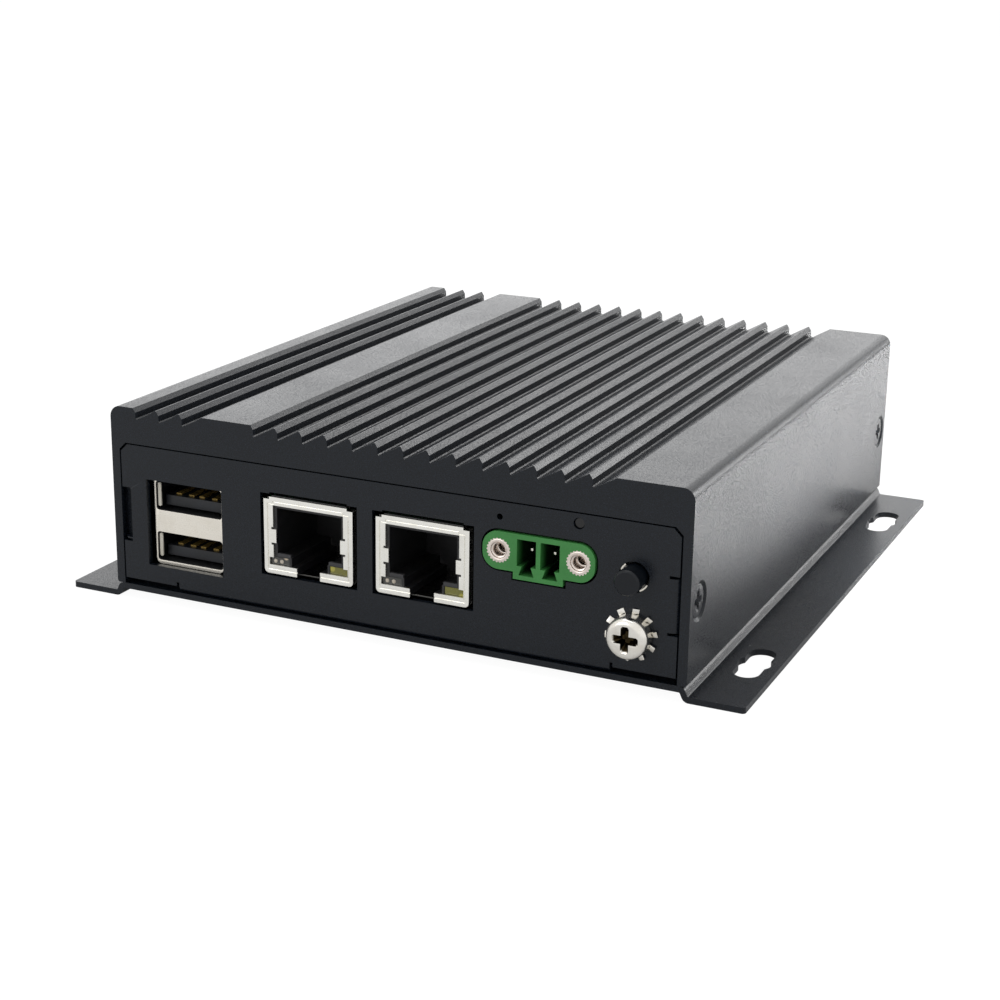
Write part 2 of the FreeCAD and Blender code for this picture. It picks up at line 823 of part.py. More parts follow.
def make_jack_insert(x):
    """Moulded insert with the plug's cavity, the latch's channel and two bays for lights."""
    y0 = jack_front + jack_metal
    y1 = jack_front + jack_depth - jack_metal
    insert = jack_outline(x, y0, y1, jack_metal)
    deep = jack_front + jack_cavity_depth
    cavity = block(x, jack_cavity_width, y0, deep,
                   jack_bottom + jack_cavity_floor, jack_bottom + jack_cavity_top)
    key = block(x, jack_key_width, y0, deep,
                jack_bottom + jack_window_rise, jack_bottom + jack_cavity_floor)
    latch = block(x, jack_latch_width, y0, deep,
                  jack_bottom + jack_metal, jack_bottom + jack_window_rise)
    bays = [jack_light_box(x, side, jack_light_fit) for side in (-1, 1)]
    return insert.cut([cavity, key, latch] + bays)


def make_jack_contacts(x):
    """Sprung wires that slope down from the roof of the cavity towards its back."""
    roof_z = jack_bottom + jack_cavity_top
    y0 = jack_front + jack_contact_start
    y1 = y0 + jack_contact_run
    thickness = jack_contact_width
    outline = [
        (y0, roof_z), (y0 + 2 * thickness, roof_z), (y1 + thickness, roof_z - jack_contact_drop),
        (y1, roof_z - jack_contact_drop - thickness / 2),
    ]
    first = x - jack_contact_pitch * (jack_contact_count - 1) / 2
    wires = []
    for k in range(jack_contact_count):
        left = first + k * jack_contact_pitch - jack_contact_width / 2
        wires.append(prism_x(outline, left, left + jack_contact_width))
    return Part.makeCompound(wires)


def make_jack_lights(side):
    return Part.makeCompound([jack_light_box(x, side, 0) for x in jack_x])


# ---------------------------------------------------------------- power header

def header_outline(grow, y0, y1):
    """Rounded body with the skirt below its middle, widened by grow all round."""
    half = header_width / 2 + grow
    top = board_underside + grow
    low = header_centre_z - header_height / 2 - grow
    body = box(header_x - half, header_x + half, y0, y1, low, top)
    long_edges = [e for e in body.Edges if abs(e.Vertexes[0].Y - e.Vertexes[1].Y) > 1e-6]
    body = body.makeFillet(header_end_radius + grow, long_edges)
    skirt = block(header_x, header_skirt_width + 2 * grow, y0, y1, header_bottom - grow, header_centre_z)
    return fused(body, skirt)


def header_cavities():
    """Cutters: two contact cavities, each with a keyed foot in the skirt."""
    y0 = header_front
    y1 = header_front + header_cavity_depth
    floor_z = header_centre_z - header_height / 2 + header_cavity_rise
    key_low = header_bottom + header_key_rim
    cutters = []
    for side in (-1, 1):
        x = header_x + side * header_cavity_pitch / 2
        cutters.append(block(x, header_cavity_width, y0, y1, floor_z, floor_z + header_cavity_height))
        cutters.append(prism_y([
            (x - header_key_neck / 2, floor_z), (x - header_key_width / 2, key_low),
            (x + header_key_width / 2, key_low), (x + header_key_neck / 2, floor_z),
        ], y0, y1))
    return cutters


def insert_places():
    return [header_x - insert_spacing / 2, header_x + insert_spacing / 2]


def make_power_header():
    header = header_outline(0, header_front, header_front + header_depth)
    header = header.cut(header_cavities())
    for x in insert_places():
        pocket = cylinder_y(insert_radius + insert_fit, x, header_centre_z,
                            header_front, header_front + insert_length)
        header = header.cut(pocket)
    for pin in power_pins():
        header = header.cut(pin)
    return header


def power_pins():
    """Square pins from the cavities through the back of the header, then up into the board."""
    pins = []
    z = header_centre_z + pin_height
    back = header_front + header_depth
    for side in (-1, 1):
        x = header_x + side * pin_pitch / 2
        tail = back + pin_tail
        low = z - pin_side / 2
        shaft = block(x, pin_side, header_front + pin_setback, tail + pin_side, low, low + pin_side)
        pins.append(fused(shaft, block(x, pin_side, tail, tail + pin_side, low, board_underside)))
    return pins


def make_header_inserts():
    """Threaded brass inserts in the header's flanges."""
    inserts = []
    for x in insert_places():
        y1 = header_front + insert_length
        insert = cylinder_y(insert_radius, x, header_centre_z, header_front, y1)
        bore = cylinder_y(insert_bore_radius, x, header_centre_z, header_front, y1)
        inserts.append(insert.cut(bore))
    return Part.makeCompound(inserts)


# ---------------------------------------------------------------- push button and lights

def make_button():
    """Round cap, a flange that stays behind the panel, and a guide stem."""
    face = front - button_proud
    cap = cylinder_y(button_radius, button_x, button_z, face, button_flange_front)
    outer = [e for e in cap.Edges if abs(e.CenterOfMass.y - face) < 1e-4]
    cap = cap.makeChamfer(button_edge, outer)
    flange = cylinder_y(button_flange_radius, button_x, button_z, button_flange_front, button_flange_back)
    stem_end = switch_front + button_stem_length
    stem = cylinder_y(button_stem_radius, button_x, button_z, button_flange_back, stem_end)
    return fused(cap, flange, stem)


def make_button_switch():
    """Switch body under the board, with the bore that guides the stem."""
    body = block(button_x, switch_width, switch_front, switch_front + switch_depth,
                 button_z - switch_below_button, board_underside)
    bore_end = switch_front + button_stem_length + 2 * button_travel
    bore = cylinder_y(button_stem_radius + button_fit, button_x, button_z, switch_front, bore_end)
    return body.cut(bore)


def make_small_light():
    y0 = board_front
    return block(small_light_x, small_light_width, y0, y0 + small_light_depth,
                 board_top, board_top + small_light_height)


def make_guide_light():
    """Light with a round nose that reaches into the panel's hole."""
    z = board_top + guide_light_centre
    body = block(guide_light_x, guide_light_width, board_front, board_front + guide_light_depth,
                 board_top, board_top + guide_light_height)
    nose = cylinder_y(guide_light_nose_radius, guide_light_x, z, front + guide_light_recess, board_front)
    return fused(body, nose)


# ---------------------------------------------------------------- parts under the board

def memory_level():
    """Upper face of the memory module."""
    return board_underside - memory_drop


def make_memory_socket():
    top = memory_level()
    y0 = memory_front_y + memory_width - memory_engagement
    y1 = y0 + memory_socket_width
    low = board_underside - memory_socket_height
    bar = block(0, memory_socket_length, y0, y1, low, board_underside)
    slot = block(0, memory_length, y0, y0 + memory_engagement, top - memory_thickness, top)
    arms = []
    for side in (-1, 1):
        x = side * (memory_length + memory_latch_width) / 2
        arms.append(block(x, memory_latch_width, memory_front_y + memory_width / 3, y0,
                          top - memory_thickness, board_underside))
    return fused(bar, *arms).cut(slot)


def make_memory_module():
    top = memory_level()
    return block(0, memory_length, memory_front_y, memory_front_y + memory_width,
                 top - memory_thickness, top)


def make_memory_chips():
    width, length, height = memory_chip
    low = memory_level() - memory_thickness - height
    y0 = memory_front_y + (memory_width - length) / 2 - memory_engagement
    first = -memory_chip_pitch * (memory_chip_count - 1) / 2
    return Part.makeCompound([
        block(first + k * memory_chip_pitch, width, y0, y0 + length, low, low + height)
        for k in range(memory_chip_count)
    ])


def storage_level():
    return board_underside - storage_drop


def make_storage_card():
    """Card with its two memory packages on the lower face."""
    top = storage_level()
    low = top - storage_thickness
    y0 = storage_y - storage_width / 2
    card = box(storage_x, storage_x + storage_length, y0, y0 + storage_width, low, top)
    width, length, height = storage_chip
    chips = [
        block(storage_x + storage_length * share, width, storage_y - length / 2, storage_y + length / 2,
              low - height, low)
        for share in (0.3, 0.65)
    ]
    return fused(card, *chips)


def make_storage_socket():
    top = storage_level()
    x1 = storage_x + storage_engagement
    socket = box(x1 - storage_socket_depth, x1, storage_y - storage_width / 2,
                 storage_y + storage_width / 2, board_underside - storage_socket_height, board_underside)
    slot = box(storage_x, x1, storage_y - storage_width / 2, storage_y + storage_width / 2,
               top - storage_thickness, top)
    return socket.cut(slot)


def make_storage_clip():
    """Clip under the board that holds the card's far end in a slot."""
    end = storage_x + storage_length
    low = storage_level() - storage_thickness
    half = storage_clip_width / 2
    clip = box(end - storage_clip_lip, end + storage_clip_length, storage_y - half, storage_y + half,
               low - storage_clip_base, board_underside)
    slot = box(end - storage_clip_lip, end, storage_y - half, storage_y + half, low, storage_level())
    return clip.cut(slot)


def make_cell_holder():
    """Square holder under the board, open below."""
    half = cell_radius + cell_fit
    outer = half + cell_holder_wall
    pocket_top = board_underside - cell_holder_base
    low = pocket_top - cell_holder_depth
    holder = block(cell_x, 2 * outer, cell_y - outer, cell_y + outer, low, board_underside)
    return holder.cut(block(cell_x, 2 * half, cell_y - half, cell_y + half, low, pocket_top))


def make_coin_cell():
    top = board_underside - cell_holder_base
    return cylinder_z(cell_radius, cell_x, cell_y, top - cell_height, top)


def make_inductors():
    half = inductor_side / 2
    low = board_underside - inductor_height
    coils = []
    for x, inset in inductor_places:
        y = board_front + inset
        coil = block(x, inductor_side, y - half, y + half, low, board_underside)
        upright = [e for e in coil.Edges if abs(e.Vertexes[0].Z - e.Vertexes[1].Z) > 1e-6]
        coils.append(coil.makeChamfer(inductor_bevel, upright))
    return Part.makeCompound(coils)


def make_capacitors():
    low = board_underside - capacitor_height
    half = capacitor_width / 2
    return Part.makeCompound([
        block(x, capacitor_length, board_front + inset - half, board_front + inset + half,
              low, board_underside)
        for x, inset in capacitor_places
    ])


# ---------------------------------------------------------------- the nodes

def build_nodes():
    """Every node's shape by its name."""
    nodes = {
        "housing": make_housing(),
        "mounting_plate": make_mounting_plate(),
        "chassis": make_chassis(),
        "side_screws": make_side_screws(),
        "base_screws": make_base_screws(),
        "board_holders": make_board_holders(),
        "ground_screw": make_ground_screw(),
        "ground_washer": make_ground_washer(),
        "ground_nut": make_ground_nut(),
        "mainboard": make_mainboard(),
        "processor": make_processor(),
        "thermal_pad": make_thermal_pad(),
        "usb_shell": make_usb_shell(),
        "usb_insulator": make_usb_insulator(),
        "usb_contacts": make_usb_contacts(),
        "link_lights": make_jack_lights(-1),
        "activity_lights": make_jack_lights(1),
        "power_header": make_power_header(),
        "power_pins": Part.makeCompound(power_pins()),
        "header_inserts": make_header_inserts(),
        "push_button": make_button(),
        "button_switch": make_button_switch(),
        "small_light": make_small_light(),
        "guide_light": make_guide_light(),
        "memory_socket": make_memory_socket(),
        "memory_module": make_memory_module(),
        "memory_chips": make_memory_chips(),
        "storage_card": make_storage_card(),
        "storage_socket": make_storage_socket(),
        "storage_clip": make_storage_clip(),
        "cell_holder": make_cell_holder(),
        "coin_cell": make_coin_cell(),
        "inductors": make_inductors(),
        "capacitors": make_capacitors(),
    }
    for name, x in zip(("left_jack", "right_jack"), jack_x):
        nodes[name + "_shield"] = make_jack_shield(x)
        nodes[name + "_insert"] = make_jack_insert(x)
        nodes[name + "_contacts"] = make_jack_contacts(x)
    return nodes


def main():
    os.makedirs("parts", exist_ok=True)
    for node, shape in build_nodes().items():
        shape.exportStep("parts/" + node + ".step")
        print(node, len(shape.Solids), "solids,", round(shape.Volume, 2), "mm3,",
              "valid" if shape.isValid() else "NOT VALID")


main()
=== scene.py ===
"""Looks of a fanless industrial computer, built round its solids.

Metres, +Z up, +X to the right, the connector panel faces -Y. Sizes written with MM are millimetres.
"""
import logging
import math
from dataclasses import dataclass
from enum import Enum
from typing import Any, Sequence

import bmesh
import bpy
from mathutils import Matrix, Vector


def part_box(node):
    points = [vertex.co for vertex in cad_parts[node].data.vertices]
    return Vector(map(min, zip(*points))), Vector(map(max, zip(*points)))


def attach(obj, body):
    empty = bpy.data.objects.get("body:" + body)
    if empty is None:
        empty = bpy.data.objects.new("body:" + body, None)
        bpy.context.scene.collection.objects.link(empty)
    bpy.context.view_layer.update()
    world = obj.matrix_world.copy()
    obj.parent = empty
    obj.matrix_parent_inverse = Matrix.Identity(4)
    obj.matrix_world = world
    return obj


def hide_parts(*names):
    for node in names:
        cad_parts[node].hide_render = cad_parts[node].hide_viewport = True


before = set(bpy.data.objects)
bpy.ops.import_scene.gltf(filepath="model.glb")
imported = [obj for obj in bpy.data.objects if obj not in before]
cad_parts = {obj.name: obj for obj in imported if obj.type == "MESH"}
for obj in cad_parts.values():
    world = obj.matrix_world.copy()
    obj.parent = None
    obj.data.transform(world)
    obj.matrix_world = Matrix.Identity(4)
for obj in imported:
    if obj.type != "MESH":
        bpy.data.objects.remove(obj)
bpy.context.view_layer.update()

LOG = logging.getLogger("industrial_pc")
MM = 0.001
QUARTER = math.pi / 2
# Points nearer than this are one, in a made mesh and in a copy of a solid.
MERGE = 0.0001 * MM
SOLID_MERGE = 0.0002 * MM
# The wall screws' distance from the housing's ends, and their height.
SCREW_INSET = 4.1 * MM
SCREW_HEIGHT = 14.9 * MM

Colour = tuple[float, float, float]
Point = tuple[float, float]
Seat = tuple[Vector, Vector]
BMesh = bmesh.types.BMesh
Material = bpy.types.Material
Object = bpy.types.Object
Socket = bpy.types.NodeSocket


class Body(Enum):
    """The rigid bodies that pieces ride on."""

    COMPUTER = "computer"
    BUTTON = "button"


# ------------------------------------------------------------------ benches for node trees


class Bench:
    """Node tree under construction."""

    def __init__(self, tree: bpy.types.NodeTree) -> None:
        """Take the tree to work on."""
        self.tree = tree

    def feed(self, socket: Socket, value: Any) -> None:
        """Link a socket, or set its constant.

        Args:
            socket: the input.
            value: a socket, a number, a vector or a colour.
        """
        if isinstance(value, Socket):
            self.tree.links.new(value, socket)
        elif socket.type == "RGBA":
            socket.default_value = (*value, 1.0)[:4]
        else:
            socket.default_value = value

    def add(self, kind: str, inputs: dict[Any, Any] | None = None,
            **settings: Any) -> bpy.types.Node:
        """Add a node.

        Args:
            kind: the node's type.
            inputs: values or sockets for its inputs, by name or number.
            settings: values for its properties.

        Returns:
            The new node.
        """
        node = self.tree.nodes.new(kind)
        for name, value in settings.items():
            setattr(node, name, value)
        for name, value in (inputs or {}).items():
            self.feed(node.inputs[name], value)
        return node

    def out(self, kind: str, inputs: dict[Any, Any] | None = None, output: int | str = 0,
            **settings: Any) -> Socket:
        """Add a node and return one of its outputs, by name or number."""
        return self.add(kind, inputs, **settings).outputs[output]

    def math(self, operation: str, first: Any, second: Any) -> Socket:
        """Join two numbers or sockets by an operation."""
        return self.out("ShaderNodeMath", {0: first, 1: second}, operation=operation)


class RayBench(Bench):
    """Node tree of a material or a world, emptied."""

    def __init__(self, owner: Material | bpy.types.World) -> None:
        """Empty the owner's tree.

        Args:
            owner: the material or world.
        """
        owner.use_nodes = True
        super().__init__(owner.node_tree)
        self.tree.nodes.clear()

    def seen_directly(self, glossy: float = 1.0) -> Socket:
        """Make a factor for rays that show the surroundings as they look.

        Args:
            glossy: the factor for glossy rays; it is 1 for camera and transmission rays.

        Returns:
            The factor socket.
        """
        path = self.add("ShaderNodeLightPath").outputs
        factor = self.math("MULTIPLY", path["Is Glossy Ray"], glossy)
        for name in ("Is Camera Ray", "Is Transmission Ray"):
            factor = self.math("MAXIMUM", factor, path[name])
        return factor


class ShaderBench(RayBench):
    """Material under construction, with short calls for the nodes that the finishes share."""

    def __init__(self, name: str) -> None:
        """Start a material.

        Args:
            name: the material's name.
        """
        self.material = bpy.data.materials.new(name)
        super().__init__(self.material)
        self.surface = self.add("ShaderNodeBsdfPrincipled")
        self.add("ShaderNodeOutputMaterial", {"Surface": self.surface.outputs["BSDF"]})
        self.place = self.out("ShaderNodeTexCoord", output="Object")

    def set(self, **values: Any) -> None:
        """Set the surface shader's inputs by name, with underscores for spaces."""
        for name, value in values.items():
            self.feed(self.surface.inputs[name.replace("_", " ")], value)

    def stretched(self, scale: Sequence[float]) -> Socket:
        """Return the object coordinates scaled along each axis."""
        return self.out("ShaderNodeMapping", {"Vector": self.place, "Scale": scale})

    def axes(self) -> Any:
        """Return the x, y and z sockets of the object coordinates."""
        return self.add("ShaderNodeSeparateXYZ", {"Vector": self.place}).outputs

    def noise(self, grain: float, detail: float = 2.0, where: Any = None,
              rough: float = 0.5) -> Socket:
        """Noise from 0 to 1.

        Args:
            grain: size of a blotch in metres.
            detail: octaves.
            where: vector socket, or None for object coordinates.
            rough: share that each octave keeps.

        Returns:
            The factor socket.
        """
        return self.out("ShaderNodeTexNoise", {
            "Vector": where or self.place, "Scale": 1 / grain, "Detail": detail,
            "Roughness": rough,
        }, "Fac")

    def cells(self, spacing: float) -> Socket:
        """Return the distance to the nearest of scattered points, spaced so many metres."""
        node = self.add("ShaderNodeTexVoronoi", {"Vector": self.place, "Scale": 1 / spacing})
        return node.outputs["Distance"]

    def spread(self, factor: Socket, low: float, high: float, start: float = 0.0,
               end: float = 1.0) -> Socket:
        """Map a factor from start..end to low..high, held at both ends.

        Args:
            factor: the socket to map.
            low: result at start.
            high: result at end.
            start: lower end of the factor.
            end: upper end of the factor.

        Returns:
            The result socket.
        """
        return self.out("ShaderNodeMapRange", {
            "Value": factor, "From Min": start, "From Max": end, "To Min": low, "To Max": high,
        })

    def behind(self, face: float, start: float, end: float) -> Socket:
        """Return a factor that grows from 0 to 1 between two depths behind a face at that y."""
        return self.spread(self.axes()[1], 0.0, 1.0, face + start, face + end)

    def blend(self, factor: Any, first: Any, second: Any) -> Socket:
        """Mix two colours.

        Args:
            factor: share of the second.
            first: colour or socket.
            second: colour or socket.

        Returns:
            The colour socket.
        """
        return self.out("ShaderNodeMix", {0: factor, 6: first, 7: second}, 2, data_type="RGBA")

    def relief(self, height: Socket, depth: float, strength: float = 1.0,
               under: Socket | None = None) -> Socket:
        """Surface normal with a relief on it.

        Args:
            height: height socket, 0 to 1.
            depth: height of the relief in metres.
            strength: share of its effect.
            under: normal socket of a relief below this one, or None.

        Returns:
            The normal socket.
        """
        inputs = {"Height": height, "Distance": depth, "Strength": strength}
        if under is not None:
            inputs["Normal"] = under
        return self.out("ShaderNodeBump", inputs)


class GeometryBench(Bench):
    """Geometry Nodes tree under construction, with named sizes."""

    def __init__(self, name: str) -> None:
        """Start a tree.

        Args:
            name: the tree's name.
        """
        super().__init__(bpy.data.node_groups.new(name, "GeometryNodeTree"))
        for way in ("INPUT", "OUTPUT"):
            self.tree.interface.new_socket("Geometry", in_out=way, socket_type="NodeSocketGeometry")
        self.entry = self.add("NodeGroupInput")
        self.sizes: dict[str, Any] = {}

    def size(self, name: str, value: Any) -> Socket:
        """Add a named input.

        Args:
            name: the input's name.
            value: a float, a whole number or an object.

        Returns:
            The socket inside the tree that carries it.
        """
        kinds = {float: "NodeSocketFloat", int: "NodeSocketInt", Object: "NodeSocketObject"}
        socket = self.tree.interface.new_socket(name, in_out="INPUT",
                                                socket_type=kinds[type(value)])
        self.sizes[socket.identifier] = value
        return self.entry.outputs[name]

    def shape(self, name: str, piece: Object) -> Socket:
        """Add a named object input and return its geometry."""
        return self.out("GeometryNodeObjectInfo", {"Object": self.size(name, piece)}, "Geometry")

    def vector(self, x: Any = 0.0, y: Any = 0.0, z: Any = 0.0) -> Socket:
        """Join three numbers or sockets to a vector."""
        return self.out("ShaderNodeCombineXYZ", {"X": x, "Y": y, "Z": z})

    def row(self, count: Any, start: Any, step: Any) -> Socket:
        """Return points in a row, from a start by even steps."""
        return self.out("GeometryNodeMeshLine", {
            "Count": count, "Start Location": start, "Offset": step,
        })

    def placed(self, geometry: Socket, **place: Any) -> Socket:
        """Return a geometry moved or turned, by Translation and Rotation."""
        return self.out("GeometryNodeTransform", {"Geometry": geometry, **place})

    def scatter(self, points: Socket, instance: Socket, turn: Socket | None = None) -> Socket:
        """Put a shape on each point.

        Args:
            points: geometry with the points.
            instance: geometry of the shape.
            turn: rotation socket, or None.

        Returns:
            The instances.
        """
        inputs = {"Points": points, "Instance": instance}
        if turn is not None:
            inputs["Rotation"] = turn
        return self.out("GeometryNodeInstanceOnPoints", inputs)

    def crown(self, tooth: Object, count: int, phase: float = 0.0) -> Socket:
        """Set copies of a tooth at even turns round +Z.

        Args:
            tooth: the tooth, at +X.
            count: how many.
            phase: turn of the first in radians.

        Returns:
            The instances.
        """
        centre = self.out("GeometryNodeMeshCircle", {
            "Vertices": self.size("Teeth", count), "Radius": 1e-9,
        })
        step = self.math("MULTIPLY", self.out("GeometryNodeInputIndex"), math.tau / count)
        turn = self.vector(z=self.math("ADD", step, self.size("Phase", phase)))
        return self.scatter(centre, self.shape("Tooth", tooth), turn)

    def join(self, *parts: Socket) -> Socket:
        """Join geometries.

        Args:
            parts: the geometries.

        Returns:
            The joined geometry.
        """
        node = self.add("GeometryNodeJoinGeometry")
        for part in parts:
            self.tree.links.new(part, node.inputs[0])
        return node.outputs[0]

    def merged(self, *parts: Socket) -> Socket:
        """Join geometries and merge the points that meet."""
        return self.out("GeometryNodeMergeByDistance", {
            "Geometry": self.join(*parts), "Distance": 10 * MERGE,
        })

    def real(self, instances: Socket) -> Socket:
        """Return instances as plain geometry."""
        return self.out("GeometryNodeRealizeInstances", {"Geometry": instances})

    def make(self, name: str, result: Socket, finish: Material) -> Object:
        """Close the tree and turn what it makes into a plain mesh.

        Args:
            name: name of the piece.
            result: geometry to hand out.
            finish: its material.

        Returns:
            The piece, with no modifier left.
        """
        dressed = self.out("GeometryNodeSetMaterial", {
            "Geometry": self.real(result), "Material": finish,
        })
        self.add("NodeGroupOutput", {0: dressed})
        host = link(bpy.data.objects.new(name + "_host", bpy.data.meshes.new(name + "_host")))
        modifier = host.modifiers.new("nodes", "NODES")
        modifier.node_group = self.tree
        for identifier, value in self.sizes.items():
            modifier[identifier] = value
        return frozen(host, name)


# ------------------------------------------------------------------ mesh helpers


def link(piece: Object) -> Object:
    """Put an object into the scene and hand it back."""
    bpy.context.scene.collection.objects.link(piece)
    return piece


def drop(*things: Object) -> None:
    """Remove helper objects."""
    for thing in things:
        bpy.data.objects.remove(thing)


def frozen(host: Object, name: str) -> Object:
    """Turn an object with modifiers into a plain mesh piece at the origin.

    Args:
        host: the object, which is removed.
        name: name of the piece.

    Returns:
        The piece.
    """
    bpy.context.view_layer.update()
    evaluated = host.evaluated_get(bpy.context.evaluated_depsgraph_get())
    mesh = bpy.data.meshes.new_from_object(evaluated)
    mesh.transform(host.matrix_world)
    host.modifiers.clear()
    drop(host)
    mesh.name = name
    return link(bpy.data.objects.new(name, mesh))


def gathered(*pieces: Object) -> BMesh:
    """Gather the meshes of pieces.

    Args:
        pieces: the objects.

    Returns:
        One bmesh with all their faces.
    """
    form = bmesh.new()
    for piece in pieces:
        form.from_mesh(piece.data)
    return form


def as_object(name: str, form: BMesh) -> Object:
    """Make an object of a bmesh.

    Args:
        name: the object's name.
        form: the bmesh, which is freed.

    Returns:
        The object.
    """
    mesh = bpy.data.meshes.new(name)
    form.to_mesh(mesh)
    form.free()
    return link(bpy.data.objects.new(name, mesh))


def outward(name: str, form: BMesh) -> Object:
    """Make an object of a bmesh, with doubles merged and faces outwards.

    Args:
        name: the object's name.
        form: the bmesh, which is freed.

    Returns:
        The object.
    """
    bmesh.ops.remove_doubles(form, verts=form.verts, dist=MERGE)
    bmesh.ops.recalc_face_normals(form, faces=form.faces)
    return as_object(name, form)


def line_object(name: str, *lines: Sequence[Point]) -> Object:
    """Make an object of open lines on the XY plane.

    Args:
        name: the object's name.
        lines: the points of each line.

    Returns:
        The object, not in the scene.
    """
    points, edges = [], []
    for line in lines:
        edges += [(len(points) + k, len(points) + k + 1) for k in range(len(line) - 1)]
        points += [(x, y, 0) for x, y in line]
    mesh = bpy.data.meshes.new(name)
    mesh.from_pydata(points, edges, [])
    return bpy.data.objects.new(name, mesh)


def slab(form: BMesh, low: Sequence[float], high: Sequence[float]) -> None:
    """Add a block between its lowest and its highest corner to a bmesh."""
    size, middle = Vector(high) - Vector(low), (Vector(high) + Vector(low)) / 2
    bmesh.ops.create_cube(form, size=1, matrix=Matrix.LocRotScale(middle, None, size))


def loft(form: BMesh, rings: Sequence[Sequence[Sequence[float]]], capped: bool = False) -> None:
    """Add a skin through rings of corners to a bmesh.

    Args:
        form: the bmesh.
        rings: the corners of each ring; a ring of one corner is a pole.
        capped: whether the first and last rings get a face.
    """
    loops = [[form.verts.new(corner) for corner in ring] for ring in rings]
    if capped:
        form.faces.new(loops[0])
        form.faces.new(loops[-1][::-1])
    steps = max(len(loop) for loop in loops)
    for low, high in zip(loops, loops[1:]):
        for k in range(steps):
            after = (k + 1) % steps
            corners = [low[k % len(low)], low[after % len(low)],
                       high[after % len(high)], high[k % len(high)]]
            form.faces.new(list(dict.fromkeys(corners)))


def turned(name: str, profile: Sequence[Point], steps: int) -> Object:
    """Round part with its axis on +Z.

    Args:
        name: the object's name.
        profile: (radius, height) points; a radius of 0 is on the axis.
        steps: facets round it.

    Returns:
        The object.
    """
    turns = [math.tau * k / steps for k in range(steps)]
    form = bmesh.new()
    loft(form, [[(radius * math.cos(a), radius * math.sin(a), height) for a in turns]
                if radius > 0 else [(0, 0, height)] for radius, height in profile])
    return outward(name, form)


def arc(centre: Point, radius: float, start: float, end: float, steps: int) -> list[Point]:
    """Return points on an arc, from one angle in degrees to another."""
    turns = [math.radians(start + (end - start) * k / steps) for k in range(steps + 1)]
    return [(centre[0] + radius * math.cos(a), centre[1] + radius * math.sin(a)) for a in turns]


def rounded(left: float, right: float, low: float, high: float, radius: float) -> list[Point]:
    """Draw a rectangle with round corners.

    Args:
        left: its least x.
        right: its greatest x.
        low: its least z.
        high: its greatest z.
        radius: radius of its corners.

    Returns:
        Its outline, anticlockwise from the lower right.
    """
    points = []
    near, far, bottom, top = left + radius, right - radius, low + radius, high - radius
    for k, centre in enumerate(((far, bottom), (far, top), (near, top), (near, bottom))):
        points += arc(centre, radius, 90 * k - 90, 90 * k, 5)
    return points


def mirrored(half: Sequence[Point]) -> list[Point]:
    """Return the half of a symmetric outline followed by its other half."""
    return [*half, *((-x, z) for x, z in reversed(half))]


def plate(name: str, outlines: Sequence[Sequence[Point]], near: float, far: float,
          edge: float = 0.03 * MM) -> Object:
    """Flat plate that faces -Y, with holes and rounded edges.

    Args:
        name: the object's name.
        outlines: (x, z) outlines; those inside the first are holes.
        near: y of its front.
        far: y of its back.
        edge: rounding of its edges.

    Returns:
        The object.
    """
    curve = bpy.data.curves.new(name, "CURVE")
    curve.dimensions = "2D"
    curve.fill_mode = "BOTH"
    for points in outlines:
        spline = curve.splines.new("POLY")
        spline.points.add(len(points) - 1)
        for target, (x, z) in zip(spline.points, points):
            target.co = (x, z, 0, 1)
        spline.use_cyclic_u = True
    curve.extrude = (far - near) / 2 - edge
    curve.bevel_depth = edge
    curve.bevel_resolution = 1
    curve.offset = -edge
    host = link(bpy.data.objects.new(name, curve))
    host.matrix_world = (Matrix.Translation((0, (near + far) / 2, 0))
                         @ Matrix.Rotation(QUARTER, 4, "X"))
    flat = frozen(host, name)
    form = gathered(flat)
    drop(flat)
    return outward(name, form)


def cut(piece: Object, *cutters: Object) -> None:
    """Take cutters away from a piece, with modifiers; the cutters stay until drop().

    Args:
        piece: the piece.
        cutters: closed shapes.
    """
    for cutter in cutters:
        cutter.hide_render = True
        modifier = piece.modifiers.new("cut", "BOOLEAN")
        modifier.object = cutter
        modifier.solver = "EXACT"
        modifier.use_self = True


def smooth(piece: Object) -> None:
    """Shade every face of a piece smooth."""
    for polygon in piece.data.polygons:
        polygon.use_smooth = True


def soften(piece: Object, edge: float, segments: int = 2, angle: float = 25.0) -> None:
    """Add a modifier that rounds the edges.

    Args:
        piece: the piece.
        edge: width of the rounding in metres; 0 for none.
        segments: facets across it.
        angle: edges that turn more than this, in degrees, are rounded.
    """
    smooth(piece)
    if edge > 0:
        modifier = piece.modifiers.new("edges", "BEVEL")
        modifier.width = edge
        modifier.segments = segments
        modifier.limit_method = "ANGLE"
        modifier.angle_limit = math.radians(angle)
        modifier.use_clamp_overlap = True
        modifier.miter_outer = "MITER_ARC"


def dress(piece: Object, finish: Material) -> None:
    """Give a piece one material."""
    piece.data.materials.clear()
    piece.data.materials.append(finish)


def settle(piece: Object, name: str, finish: Material, sharp: float = 40.0) -> Object:
    """Freeze a piece's modifiers, shade it and give it its finish.

    Args:
        piece: object with modifiers.
        name: name of the finished piece.
        finish: its material.
        sharp: edges that turn more than this, in degrees, stay sharp.

    Returns:
        The finished piece.
    """
    done = frozen(piece, name)
    smooth(done)
    for polygon in done.data.polygons:
        polygon.material_index = 0
    done.data.set_sharp_from_angle(angle=math.radians(sharp))
    done.modifiers.new("weights", "WEIGHTED_NORMAL").keep_sharp = True
    done = frozen(done, name)
    dress(done, finish)
    return done


def assembled(name: str, finish: Material, *parts: Object) -> Object:
    """Join plain parts into one piece.

    Args:
        name: name of the piece.
        finish: its material.
        parts: the objects, which are removed.

    Returns:
        The finished piece.
    """
    form = gathered(*parts)
    drop(*parts)
    return settle(as_object(name + "_parts", form), name, finish)


